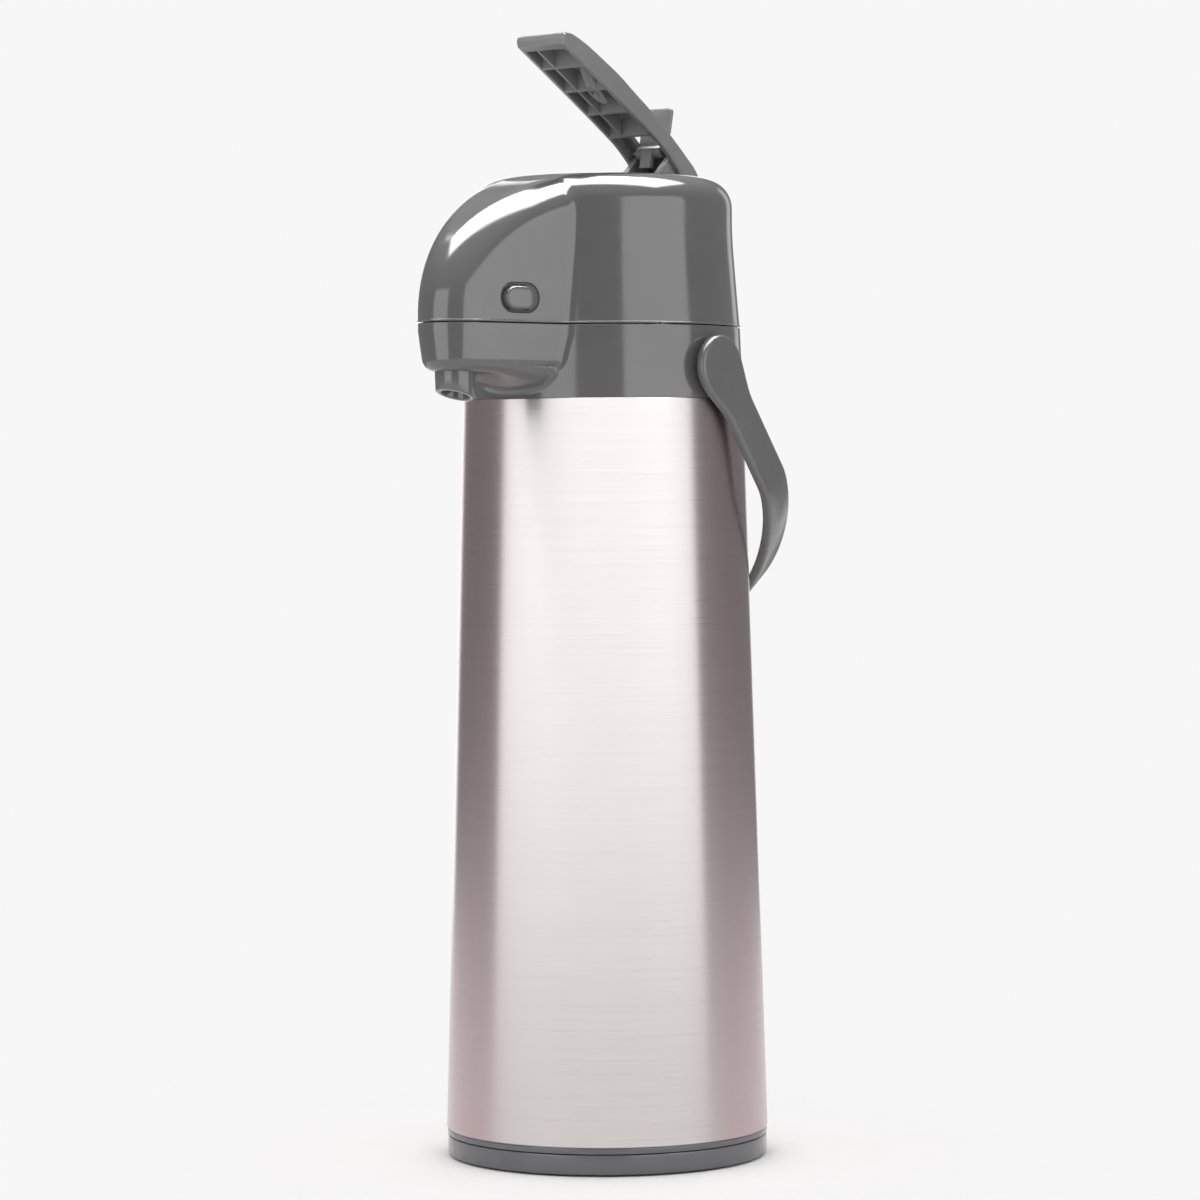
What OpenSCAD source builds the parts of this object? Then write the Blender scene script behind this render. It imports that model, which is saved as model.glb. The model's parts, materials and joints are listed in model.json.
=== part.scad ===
// Lever-action thermal coffee airpot with a swing handle, on a swivelling base.
// Millimetres. Origin: centre of the foot on the counter. +Z up, spout towards -Y.

/* [Vessel] */
// Outer radius of the steel shell at its foot
shell_foot_r = 70.5; // [70.2:0.1:70.8]
// Outer radius of the steel shell under the collar
shell_top_r = 61.7; // [61.5:0.1:61.9]
// Sheet thickness of the steel shell
shell_t = 0.6; // [0.5:0.1:0.8]
// Height of the joint between collar and lid
seam_z = 362.5; // [362:0.1:363]

/* [Lid] */
// Height of the flat top of the lid
lid_top_z = 428; // [427:0.5:429]
// Wall thickness of the lid and collar mouldings
wall = 2.2; // [1.8:0.1:2.4]
// Edge radius of the nose
nose_r = 14; // [13:0.5:15]

/* [Lever] */
// Width of the lever
lever_w = 27; // [26:0.5:27.5]
// Wall thickness of the lever moulding
lever_t = 2.2; // [1.8:0.1:2.4]

/* [Handle] */
// Angle of the hanging handle from the vertical
handle_lean = 36.5; // [35:0.5:38]
// Width of the handle strap
strap_w = 17.5; // [16:0.5:19]
// Reach of the handle from its pivot to the outside of the grip
handle_reach = 133.5; // [133:0.5:135]

/* [Flask] */
// Outer radius of the glass flask
flask_r = 59.5; // [58:0.5:60]
// Glass thickness
glass_t = 1.8; // [1.5:0.1:2]
// Vacuum gap between the two glasses
vacuum_gap = 4; // [3:0.5:4]

/* [Hidden] */
$fn = 96;
hull_fn = 28;

black = [0.30, 0.30, 0.31];
rubber_grey = [0.12, 0.12, 0.12];
steel = [0.75, 0.75, 0.77];
glass = [0.75, 0.85, 0.88, 0.5];
clear = [0.90, 0.90, 0.88];

// Swivel base
base_r = 70;
base_bottom_z = 0.8;
base_top_z = 9.3;
base_plate_t = 2.5;
base_rim_t = 3.5;
base_edge = 0.7;
boss_wall = 2;
base_rib_t = 2;
post_r = 8;
post_boss_r = 14;
post_boss_z = 4.6;
run_gap = 0.05;
pad_count = 6;
pad_r = 6;
pad_ring_r = 56;
pad_top_z = 2.2;
cover_r = 12.5;
cover_t = 1.4;
screw_head_t = 2.4;
screw_head_r = 11;
screw_shank_r = 3;
screw_length = 10;
screw_hex_r = 3;
washer_in_r = 20;
washer_out_r = 32;
washer_t = 1.2;

// Base cup and cushion
cup_r = 70.2;
cup_bottom_z = 9.7;
cup_floor_z = 12.3;
cup_wall_r = 68.6;
cup_wall_t = 1.8;
cup_wall_top = 24;
cushion_post_r = 24;
cushion_post_t = 3;
cushion_z = 20;
cushion_h = 9;
cup_rib_t = 2;
screw_post_h = 8.5;

// Shell: hem at the foot, flange under the collar
hem_t = 1.5;
hem_h = 3;
flange_w = 6;

// Flask
flask_bottom_z = 24;
flask_bend_r = 26;
flask_side_z = 282;
neck_r = 34.8;
neck_z = 334;
rim_z = 335.4;

// Collar
collar_z = 331;
collar_top_r = 60.5;
collar_wall_r = 58.1;
collar_floor_z = 336;
collar_hole_r = 38;
seam_gap = 0.4;
ring_z = 338.5;
ring_out_r = 46;
ring_in_r = 30;
ring_screw_r = 42;
trunnion_z = 344.5;
trunnion_r = 4;
trunnion_in_x = 48.5;
boss_in_x = 52;
trunnion_boss_r = 8;
ring_boss_r = 4.5;
ring_boss_z = 326;
ring_thread_r = 1.6;
clip_depth = 0.8;
clip_t = 1;
clip_r = 6.5;
clip_gap = 3;
clip_x = boss_in_x - 0.6;

// Handle
strap_in_x = 63.2;
strap_out_x = 67.7;
strap_straight = 60;
strap_bow = 4 / 3;
shoulder_x = 61.8;
shoulder_r = 6;
paddle_r = 13.5;

// Nose, in plan: half width at two distances forward of the axis
nose_slope = 0.2166;
nose_ref_y = 54.6;
nose_ref_w = 26.2;
nose_c_y = 26;
nose_c_z = 366;
nose_a = 87;
nose_b = 62;
nose_steps = 7;
nose_back_y = 20;
collar_nose_z = 342;
chin_z = 367;
chin_back_y = 50;
chin_length = 35;
chin_back_r = 36.6;
chin_front_r = 25;
face_tilt = atan(nose_slope);

// Pour path
spout_y = 97;
pipe_z = 352;
pipe_r = 6;
pipe_bore_r = 4;
stub_r = 7.5;
ball_bore_r = 4.9;
tube_r = 5;
tube_bore_r = 4;
tube_bottom_z = 46;
tube_top_z = 347;
ball_r = 4.3;
nozzle_r = 8.8;
nozzle_bore_r = 6.1;
nozzle_back_z = 329.4;
nozzle_cut = 17;
outlet_r = 4.6;
outlet_bore_r = 3.4;
port_y = 20;
port_r = 8;
port_bore_r = 5.5;
port_face_r = 11;
port_top_z = 358;

// Lid
lid_z = seam_z + 0.2;
plate_z = 363.3;
plate_t = 2.7;
plate_r = 57.6;
cyl_r = [60.4, 59, 57.7, 57.3];
cyl_z = [seam_z, 380, 397, 406];
edge_r = 13;
slot_w = 29;
slot_front_y = 14;
slot_back_y = 54.3;
slot_floor_z = 404;
cheek_t = 3;
hinge_y = 65.5;
hinge_z = seam_z;
hinge_r = 3.8;
hinge_pin_r = 1.8;
knuckle_w = 16;
knuckle_out = 32;
column_r = 50;
column_out_r = 4;
column_h = 16;
column_bore_r = 1.5;
column_a = [38, 142, 200, 340];

// Pump
bellows_y = 14;
bellows_r = 34;
bellows_z = 366;
bellows_top_z = 398;
bellows_folds = 5;
plunger_t = 3;
rail_w = 5;
rail_front_y = 8;
rail_l = 24;
valve_stem_r = 1.5;
rail_top_z = 412.9;
cam_x = 9.5;
cam_t = 3;
cam_tip_r = 4;

// Lever, in its resting (raised) position; points are [y, z]
pivot = [49, 419];
lever_pin_r = 2.5;
knuckle_r = 5;
lever_top = [[-38.8, 489.2], [-34, 488.6], [-25, 485], [-13.4, 479], [-2.5, 473], [7, 466.7],
    [17, 460.3], [26, 454], [34.6, 447.4], [42.8, 440.7], [50.3, 434], [53.2, 427.5], [54, 419]];
lever_low = [[44, 419], [42.4, 425.5], [36.8, 434.3], [25.8, 444.3], [10.6, 454], [-5, 463.3],
    [-21, 472.7], [-37, 482], [-40.6, 484.1], [-41.4, 486.4]];
void_top = [[-37.6, 486.2], [-33.4, 485.9], [-25.9, 482.9], [-14.4, 477], [-3.6, 471.1], [5.8, 464.8],
    [15.8, 458.5], [24.8, 452.2], [33.3, 445.6], [41.2, 439.1], [46.5, 433.5]];
void_low = [[40, 424], [36, 432], [25, 442], [9, 452], [-6, 461], [-22, 470], [-37.5, 480]];
cam_tip = [16.6, 417.5];
cam_root = [[36, 441], [44, 434], [50, 419], [44, 415]];
rib_step = 15.2;
rib_count = 4;
rib_t = 1.4;

// Lock tab
tab_pivot = [34.7, 442.3];
tab_pin_r = 1.2;
tab_hub_r = 3;
tab_w = 18.6;
tab_neck_w = 14;
tab_t = 1.8;
tab_neck_h = 8;
tab_fin_h = 12;
tab_tilt = 12;

// Release buttons
button_y = 79;
button_z = 373;
button_l = 16.6;
button_h = 10;
button_gap = 0.35;
recess_l = 20.4;
recess_h = 13;
recess_t = 0.8;
button_proud = 2.2;
button_root = wall + 1.9;
flange_t = 1.5;
flange_grow = 4;

function nose_w(y) = nose_ref_w - (y - nose_ref_y) * nose_slope;

module along_x(len) {
    rotate([90, 0, 90])
        linear_extrude(len, center = true)
            children();
}

module rod_x(y, z, r, len, x = 0) {
    translate([x, y, z])
        rotate([0, 90, 0])
            cylinder(r = r, h = len, center = true);
}

module ring(r_in, r_out, z, h) {
    translate([0, 0, z])
        difference() {
            cylinder(r = r_out, h = h);
            translate([0, 0, -1])
                cylinder(r = r_in, h = h + 2);
        }
}

module both_sides() {
    children();
    mirror([1, 0, 0])
        children();
}

module around(count, r) {
    for (i = [0 : count - 1])
        rotate(i * 360 / count)
            translate([r, 0, 0])
                children();
}

// Upper nose: a hull of balls along the profile, standing on upright posts
module nose_solid(inset, z0) {
    r = nose_r - inset;
    hull()
        both_sides() {
            for (i = [0 : nose_steps]) {
                a = 90 * i / nose_steps;
                y = nose_c_y + (nose_a - nose_r) * cos(a);
                z = nose_c_z + (nose_b - nose_r) * sin(a);
                translate([nose_w(y) - nose_r - 0.3, -y, z])
                    sphere(r = r, $fn = hull_fn);
            }
            for (y = [nose_back_y, nose_c_y + nose_a - nose_r])
                translate([nose_w(y) - nose_r - 0.3, -y, z0])
                    cylinder(r = r, h = nose_c_z - z0, $fn = hull_fn);
            translate([nose_w(nose_back_y) - nose_r - 0.3, -nose_back_y, lid_top_z - nose_r])
                sphere(r = r, $fn = hull_fn);
        }
}

// Lower nose: the same plan outline drawn in towards its floor
module collar_nose(inset, z0) {
    steps = inset > 0 ? [[0, z0]] : [[5, z0], [3.4, z0 + 1.2], [2.2, z0 + 4], [0, z0 + 12]];
    hull()
        both_sides()
            for (y = [nose_back_y, nose_c_y + nose_a - nose_r])
                for (s = steps)
                    translate([nose_w(y) - nose_r - 0.3, -y, s[1]])
                        cylinder(r = nose_r - inset - s[0], h = seam_z + 1 - s[1], $fn = hull_fn);
}

// Round part of the lid, less an inset from every outer face
module lid_round(inset, z0) {
    top = lid_top_z - inset;
    rc = cyl_r[3] - edge_r;
    zc = lid_top_z - edge_r;
    arc = [for (a = [0 : 15 : 90]) [rc + (edge_r - inset) * cos(a), zc + (edge_r - inset) * sin(a)]];
    side = [for (i = [0 : 2]) [cyl_r[i] - inset, i == 0 ? z0 : cyl_z[i]]];
    rotate_extrude()
        polygon(concat([[0, z0]], side, arc, [[0, top]]));
}

module on_face(side) {
    mirror([side < 0 ? 1 : 0, 0, 0])
        translate([nose_w(button_y), -button_y, button_z])
            rotate([0, 0, -face_tilt])
                rotate([0, 90, 0])
                    children();
}

module stadium(l, h) {
    for (s = [-1, 1])
        translate([0, s * (l - h) / 2])
            circle(r = h / 2, $fn = 48);
    square([h, l - h], center = true);
}

module foot_pads() {
    color(rubber_grey)
        around(pad_count, pad_ring_r)
            cylinder(r = pad_r, h = pad_top_z, $fn = 48);
}

module screw_cover() {
    color(rubber_grey)
        cylinder(r = cover_r, h = cover_t);
}

module swivel_base() {
    color(black)
        difference() {
            union() {
                ring(0, base_r - base_edge, base_top_z - base_edge, base_edge);
                ring(0, base_r, base_top_z - base_plate_t, base_plate_t - base_edge);
                ring(base_r - base_rim_t, base_r, base_bottom_z + base_edge, base_top_z - base_plate_t);
                ring(base_r - base_rim_t, base_r - base_edge, base_bottom_z, 2);
                translate([0, 0, base_bottom_z])
                    cylinder(r = post_boss_r + boss_wall, h = base_top_z - 1 - base_bottom_z);
                around(pad_count, pad_ring_r)
                    translate([0, 0, base_bottom_z])
                        cylinder(r = pad_r + boss_wall, h = base_top_z - 1 - base_bottom_z);
                for (i = [0 : pad_count - 1])
                    rotate(i * 360 / pad_count + 30)
                        translate([post_boss_r, -base_rib_t / 2, base_bottom_z + 2])
                            cube([base_r - post_boss_r - 2, base_rib_t, base_top_z - 3 - base_bottom_z]);
            }
            translate([0, 0, -1])
                cylinder(r = post_r, h = 20);
            translate([0, 0, -1])
                cylinder(r = cover_r, h = post_boss_z + 1);
            around(pad_count, pad_ring_r)
                translate([0, 0, -1])
                    cylinder(r = pad_r, h = pad_top_z + 1, $fn = 48);
        }
}

module swivel_screw() {
    color(steel)
        difference() {
            union() {
                translate([0, 0, post_boss_z - run_gap - screw_head_t])
                    cylinder(r = screw_head_r, h = screw_head_t);
                translate([0, 0, post_boss_z - 0.5])
                    cylinder(r = post_r - run_gap, h = cup_bottom_z - post_boss_z + 0.5);
                translate([0, 0, cup_bottom_z - 0.5])
                    cylinder(r = screw_shank_r, h = screw_length + 0.5);
            }
            translate([0, 0, post_boss_z - screw_head_t - 1])
                cylinder(r = screw_hex_r, h = 2.6, $fn = 6);
        }
}

module swivel_washer() {
    color(clear)
        ring(washer_in_r, washer_out_r, base_top_z + run_gap, washer_t);
}

module base_cup() {
    color(black)
        difference() {
            union() {
                rotate_extrude()
                    polygon([[0, cup_bottom_z], [cup_r - 0.6, cup_bottom_z], [cup_r, cup_bottom_z + 0.6],
                        [cup_r, cup_floor_z - 0.3], [cup_r - 0.3, cup_floor_z], [0, cup_floor_z]]);
                ring(cup_wall_r - cup_wall_t, cup_wall_r, cup_floor_z - 1, cup_wall_top - cup_floor_z + 1);
                ring(cushion_post_r - cushion_post_t, cushion_post_r, cup_floor_z - 1,
                    cushion_z - cup_floor_z + 1);
                translate([0, 0, cup_floor_z - 1])
                    cylinder(r = post_r, h = screw_post_h);
                for (i = [0 : 5])
                    rotate(i * 60)
                        translate([cushion_post_r - 1, -cup_rib_t / 2, cup_floor_z - 1])
                            cube([cup_wall_r - cushion_post_r, cup_rib_t, 5]);
            }
            translate([0, 0, cup_bottom_z - 1])
                cylinder(r = screw_shank_r, h = 11);
            ring(washer_in_r, washer_out_r, cup_bottom_z - 1,
                base_top_z + run_gap + washer_t - cup_bottom_z + 1);
        }
}

module body_shell() {
    slope = (shell_foot_r - shell_top_r) / (collar_z - cup_floor_z);
    hem_r = shell_foot_r - hem_t;
    hem_z = cup_floor_z + hem_h;
    flange_r = shell_top_r - flange_w;
    color(steel)
        rotate_extrude()
            polygon([[hem_r, cup_floor_z], [shell_foot_r - 0.4, cup_floor_z],
                [shell_foot_r, cup_floor_z + 0.5], [shell_top_r, collar_z], [flange_r, collar_z],
                [flange_r, collar_z - shell_t], [shell_top_r - shell_t, collar_z - shell_t],
                [shell_foot_r - shell_t - hem_h * slope, hem_z], [hem_r, hem_z]]);
}

// Outer glass profile, drawn in by an inset; bottom bend, side, shoulder and neck
function flask_line(d) = concat(
    [for (a = [270 : 15 : 360]) [flask_r - flask_bend_r + (flask_bend_r - d) * cos(a),
        flask_bottom_z + flask_bend_r + (flask_bend_r - d) * sin(a)]],
    [[flask_r - d, flask_side_z], [58 - d, 293 - 0.3 * d], [54 - 0.9 * d, 303 - 0.5 * d],
     [47.5 - 0.8 * d, 311 - 0.7 * d], [40 - 0.8 * d, 316.5 - 0.8 * d]]);

module flask_outer() {
    color(glass)
        rotate_extrude()
            polygon(concat([[0, flask_bottom_z]], flask_line(0), [[neck_r, 321], [neck_r, neck_z],
                [neck_r - glass_t, neck_z], [neck_r - glass_t, 319.6]],
                [for (i = [len(flask_line(0)) - 1 : -1 : 0]) flask_line(glass_t)[i]],
                [[0, flask_bottom_z + glass_t]]));
}

module flask_inner() {
    d = glass_t + vacuum_gap;
    color(glass)
        rotate_extrude()
            polygon(concat([[0, flask_bottom_z + d]], flask_line(d), [[32.4, 317], [32.4, neck_z],
                [neck_r, neck_z], [neck_r, rim_z], [30.6, rim_z], [30.6, 315.2]],
                [for (i = [len(flask_line(0)) - 1 : -1 : 0]) flask_line(d + glass_t)[i]],
                [[0, flask_bottom_z + d + glass_t]]));
}

module flask_cushion() {
    color(rubber_grey)
        difference() {
            ring(post_r, cushion_post_r + 8, cushion_z, cushion_h);
            rotate_extrude()
                polygon(concat([[0, flask_bottom_z]], flask_line(0), [[0, flask_side_z]]));
        }
}

module neck_gasket() {
    color(rubber_grey)
        rotate_extrude()
            polygon([[neck_r, 328], [37.5, 328], [37.5, collar_floor_z], [31, collar_floor_z], [31, rim_z],
                [neck_r, rim_z]]);
}

module ring_screw_places() {
    for (a = [45, 135, 270])
        rotate(a)
            translate([ring_screw_r, 0, 0])
                children();
}

module collar_ribs() {
    both_sides()
        rod_x(0, trunnion_z, trunnion_boss_r, 12, boss_in_x + 6);
    translate([-9, hinge_y - 12, seam_z - 12])
        cube([18, 8, 11]);
}

module collar_round(z0, z1, r0, r1) {
    translate([0, 0, z0])
        cylinder(r1 = r0, r2 = r1, h = z1 - z0);
}

module collar_chin() {
    difference() {
        translate([0, -chin_back_y, chin_z])
            rotate([90, 0, 0])
                cylinder(r1 = chin_back_r, r2 = chin_front_r, h = chin_length);
        translate([-60, -120, collar_nose_z + 3])
            cube([120, 120, 60]);
    }
}

module hinge_web(w, z0, z1, x) {
    translate([x - w / 2, collar_top_r - 2, z0])
        cube([w, hinge_y - collar_top_r + 2, z1 - z0]);
}

module collar() {
    top_z = seam_z - seam_gap / 2;
    color(black)
        difference() {
            union() {
                difference() {
                    union() {
                        collar_round(collar_z, top_z, shell_top_r, collar_top_r);
                        collar_nose(0, collar_nose_z);
                        collar_chin();
                    }
                    translate([-80, -130, top_z])
                        cube([160, 210, 20]);
                    difference() {
                        union() {
                            collar_round(collar_floor_z, seam_z + 1, collar_wall_r, collar_wall_r);
                            collar_nose(wall, collar_nose_z + 2.6);
                        }
                        collar_ribs();
                    }
                }
                both_sides()
                    hinge_web(knuckle_w / 2, hinge_z - hinge_r, top_z, 0.75 * knuckle_w);
                both_sides()
                    rod_x(hinge_y, hinge_z, hinge_r, knuckle_w / 2 - 0.1, 0.75 * knuckle_w + 0.05);
                ring_screw_places()
                    translate([0, 0, ring_boss_z])
                        cylinder(r = ring_boss_r, h = collar_floor_z - ring_boss_z, $fn = 48);
            }
            translate([0, 0, collar_z - 1])
                cylinder(r = collar_hole_r, h = 10);
            ring(collar_hole_r + 9, 55, collar_z - 1, 3.5);
            rod_x(0, trunnion_z, trunnion_r + run_gap, 140);
            rod_x(hinge_y, hinge_z, hinge_pin_r - run_gap, knuckle_out + 2);
            translate([0, -spout_y, collar_nose_z - 1])
                cylinder(r = nozzle_r - 1.3, h = 5);
            ring_screw_places()
                translate([0, 0, ring_boss_z - 1])
                    cylinder(r = ring_thread_r, h = 20, $fn = 32);
        }
}

module mouth_ring() {
    color(black)
        difference() {
            union() {
                ring(ring_in_r, ring_out_r, collar_floor_z, ring_z - collar_floor_z);
                ring(33, 35.5, ring_z - 0.5, 4);
            }
            ring_screw_places()
                translate([0, 0, ring_boss_z])
                    cylinder(r = ring_thread_r, h = 20, $fn = 32);
        }
}

module mouth_ring_screws() {
    color(steel)
        ring_screw_places()
            difference() {
                union() {
                    translate([0, 0, ring_z])
                        cylinder(r = 3, h = 2, $fn = 32);
                    translate([0, 0, ring_boss_z + 1])
                        cylinder(r = ring_thread_r, h = ring_z - ring_boss_z - 0.5, $fn = 32);
                }
                translate([0, 0, ring_z + 1])
                    cylinder(r = 1.3, h = 2, $fn = 6);
            }
}

module mouth_plate() {
    color(black)
        difference() {
            union() {
                translate([0, 0, ring_z])
                    cylinder(r = 32.9, h = 2.5);
                ring(27.5, 29.9, 334.5, 5);
                translate([0, 0, ring_z])
                    cylinder(r = stub_r + 2, h = 7);
                translate([0, port_y, ring_z])
                    cylinder(r = port_r, h = port_top_z - ring_z);
                translate([0, port_y, port_top_z - 2])
                    cylinder(r = port_face_r, h = 2);
            }
            translate([0, 0, 330])
                cylinder(r = stub_r, h = 40);
            translate([0, port_y, 330])
                cylinder(r = port_bore_r, h = 40);
        }
}

module dip_tube() {
    color(clear)
        difference() {
            translate([0, 0, tube_bottom_z])
                cylinder(r = tube_r, h = tube_top_z - tube_bottom_z);
            translate([0, 0, tube_bottom_z - 1])
                cylinder(r = tube_bore_r, h = tube_top_z - tube_bottom_z + 2);
            translate([0, 0, tube_bottom_z])
                rotate([45, 0, 0])
                    cube([20, 4, 4], center = true);
        }
}

module pour_pipe() {
    color(clear)
        difference() {
            union() {
                translate([0, 0, ring_z])
                    cylinder(r = stub_r, h = pipe_z - ring_z);
                translate([0, 0, pipe_z])
                    sphere(r = stub_r);
                translate([0, 0, pipe_z])
                    rotate([90, 0, 0])
                        cylinder(r = pipe_r, h = spout_y);
                translate([0, -spout_y, pipe_z])
                    sphere(r = pipe_r);
                translate([0, -spout_y, collar_nose_z + 1])
                    cylinder(r = outlet_r, h = pipe_z - collar_nose_z - 1);
            }
            translate([0, 0, ring_z - 1])
                cylinder(r = tube_r + 0.02, h = tube_top_z - ring_z + 1);
            translate([0, 0, tube_top_z - 1])
                cylinder(r = ball_bore_r, h = 8.5);
            translate([0, 2, pipe_z])
                rotate([90, 0, 0])
                    cylinder(r = pipe_bore_r, h = spout_y + 2);
            translate([0, -spout_y, pipe_z])
                sphere(r = pipe_bore_r);
            translate([0, -spout_y, collar_nose_z])
                cylinder(r = outlet_bore_r, h = pipe_z - collar_nose_z);
        }
}

module valve_ball() {
    lift = sqrt(ball_r * ball_r - tube_bore_r * tube_bore_r);
    color(steel)
        translate([0, 0, tube_top_z + lift + 0.02])
            sphere(r = ball_r);
}

module spout_nozzle() {
    color(black)
        difference() {
            translate([0, -spout_y, 0])
                union() {
                    translate([0, 0, nozzle_back_z - 1])
                        cylinder(r1 = nozzle_r - 0.5, r2 = nozzle_r, h = collar_nose_z - nozzle_back_z + 1);
                    translate([0, 0, collar_nose_z - 1])
                        cylinder(r = nozzle_r - 1.3, h = 4.8);
                    translate([-1.2, nozzle_r - 1.6, nozzle_back_z - 1])
                        cube([2.4, 2.6, collar_nose_z - nozzle_back_z + 1]);
                }
            translate([0, -spout_y, nozzle_back_z - 5])
                cylinder(r = nozzle_bore_r, h = 40);
            translate([-20, nozzle_r - spout_y, nozzle_back_z])
                rotate([nozzle_cut, 0, 180])
                    translate([-40, -10, -20])
                        cube([40, 60, 20]);
        }
}

module nozzle_oring() {
    color(rubber_grey)
        translate([0, -spout_y, 0])
            ring(outlet_r, nozzle_bore_r, collar_nose_z + 1, 2.3);
}

// Strap outline: straight arms, then a bow a little slimmer than an ellipse; x across, y along the reach
function bow(c) = sign(c) * pow(abs(c), strap_bow);
function strap_line(half_w, reach, n) = concat([[half_w, 0]],
    [for (i = [0 : n]) let (a = 180 * i / n)
        [half_w * bow(cos(a)), strap_straight + (reach - strap_straight) * bow(sin(a))]],
    [[-half_w, 0]]);

module strap() {
    n = 60;
    outer = strap_line(strap_out_x, handle_reach, n);
    inner = strap_line(strap_in_x, handle_reach - strap_out_x + strap_in_x, n);
    rotate([handle_lean - 90, 0, 0])
        linear_extrude(strap_w, center = true)
            polygon(concat(outer, [for (i = [len(inner) - 1 : -1 : 0]) inner[i]]));
}

module trunnion() {
    inside_x = strap_in_x + 1;
    difference() {
        union() {
            rod_x(0, 0, paddle_r, strap_out_x - strap_in_x + 0.6, (strap_in_x + strap_out_x) / 2);
            rod_x(0, 0, shoulder_r, inside_x - shoulder_x, (inside_x + shoulder_x) / 2);
            rod_x(0, 0, trunnion_r, inside_x - trunnion_in_x, (inside_x + trunnion_in_x) / 2);
        }
        difference() {
            rod_x(0, 0, trunnion_r + 1, clip_t, clip_x);
            rod_x(0, 0, trunnion_r - clip_depth, 3, clip_x);
        }
    }
}

module carry_handle() {
    color(black)
        translate([0, 0, trunnion_z]) {
            strap();
            both_sides()
                trunnion();
        }
}

module pivot_clips() {
    color(steel)
        both_sides()
            difference() {
                rod_x(0, trunnion_z, clip_r, clip_t, clip_x);
                rod_x(0, trunnion_z, trunnion_r - clip_depth, 3, clip_x);
                translate([clip_x - 2, -clip_gap / 2, trunnion_z - 10])
                    cube([4, clip_gap, 10]);
            }
}

module lid_ribs() {
    both_sides()
        translate([slot_w / 2, slot_front_y - 4, slot_floor_z + 1])
            cube([cheek_t, 60, 40]);
    for (a = column_a)
        rotate(a) {
            translate([column_r, 0, plate_z + plate_t])
                cylinder(r = column_out_r, h = column_h, $fn = 48);
            translate([column_r, -1, plate_z + plate_t])
                cube([20, 2, column_h]);
        }
}

module lid_cover() {
    color(black)
        difference() {
            union() {
                difference() {
                    union() {
                        lid_round(0, lid_z);
                        nose_solid(0, lid_z);
                    }
                    difference() {
                        union() {
                            lid_round(wall, lid_z - 1);
                            nose_solid(wall, lid_z - 1);
                        }
                        lid_ribs();
                    }
                }
                hinge_web(knuckle_w - 0.4, lid_z, lid_z + 5, 0);
                rod_x(hinge_y, hinge_z, hinge_r, knuckle_w - 0.2);
            }
            translate([-40, -120, lid_z - 30])
                cube([80, 120, 30]);
            translate([-slot_w / 2, slot_front_y, slot_floor_z])
                cube([slot_w, slot_back_y - slot_front_y, 40]);
            rod_x(pivot[0], pivot[1], lever_pin_r, slot_w + 2 * cheek_t + 0.2);
            rod_x(hinge_y, hinge_z, hinge_pin_r, knuckle_out + 2);
            for (a = column_a)
                rotate(a)
                    translate([column_r, 0, plate_z])
                        cylinder(r = column_bore_r, h = 14, $fn = 32);
            for (side = [-1, 1])
                on_face(side) {
                    translate([0, 0, -recess_t])
                        linear_extrude(10)
                            stadium(recess_l, recess_h);
                    translate([0, 0, -6])
                        linear_extrude(10)
                            stadium(button_l + 2 * button_gap, button_h + 2 * button_gap);
                }
        }
}

module lid_plate() {
    color(black)
        difference() {
            union() {
                translate([0, 0, plate_z])
                    cylinder(r = plate_r, h = plate_t);
                translate([0, port_y, port_top_z + 3])
                    cylinder(r = port_face_r, h = plate_z - port_top_z - 2);
                translate([0, bellows_y, plate_z + plate_t - 0.5])
                    ring(bellows_r - 10, bellows_r - 7.4, 0, 3);
            }
            translate([0, port_y, 350])
                cylinder(r = port_bore_r, h = 30);
            for (a = column_a)
                rotate(a)
                    translate([column_r, 0, plate_z - 1])
                        cylinder(r = column_bore_r, h = 10, $fn = 32);
        }
}

module lid_plate_screws() {
    color(steel)
        for (a = column_a)
            rotate(a)
                translate([column_r, 0, plate_z])
                    difference() {
                        union() {
                            translate([0, 0, -0.8])
                                cylinder(r = 3, h = 0.8, $fn = 32);
                            translate([0, 0, -0.3])
                                cylinder(r = column_bore_r, h = 12, $fn = 32);
                        }
                        translate([0, 0, -1])
                            cylinder(r = 1.2, h = 0.8, $fn = 6);
                    }
}

module air_gasket() {
    color(rubber_grey)
        translate([0, port_y, 0])
            ring(port_bore_r + 1, port_face_r - 0.5, port_top_z + 0.1, 2.9);
}

module bellows() {
    depth = 6;
    skin = 1.1;
    pitch = (bellows_top_z - bellows_z) / bellows_folds;
    outer = [for (i = [0 : 2 * bellows_folds])
        [bellows_r - (i % 2 == 0 ? depth : 0), bellows_z + i * pitch / 2]];
    inner = [for (i = [2 * bellows_folds : -1 : 0])
        [bellows_r - skin - (i % 2 == 0 ? depth : 1.2), bellows_z + i * pitch / 2]];
    color(rubber_grey)
        translate([0, bellows_y, 0])
            rotate_extrude()
                polygon(concat(outer, inner));
}

module return_spring() {
    turns = 5;
    coil_r = 12;
    wire_r = 0.8;
    z0 = bellows_z;
    length = bellows_top_z - z0;
    half_a = wire_r / (length / turns) * 360;
    angles = [for (i = [-4 : 4]) i * half_a / 4];
    function edge(s, a) = let (r = coil_r + s * wire_r * sqrt(max(0, 1 - pow(a / half_a, 2))))
        [r * cos(a), r * sin(a)];
    color(steel)
        translate([0, bellows_y, z0])
            linear_extrude(length, twist = -360 * turns, slices = 18 * turns, $fn = 4)
                polygon(concat([for (a = angles) edge(1, a)],
                    [for (i = [7 : -1 : 1]) edge(-1, angles[i])]));
}

module lid_hinge_pin() {
    color(steel)
        rod_x(hinge_y, hinge_z, hinge_pin_r - run_gap, knuckle_out);
}

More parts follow.
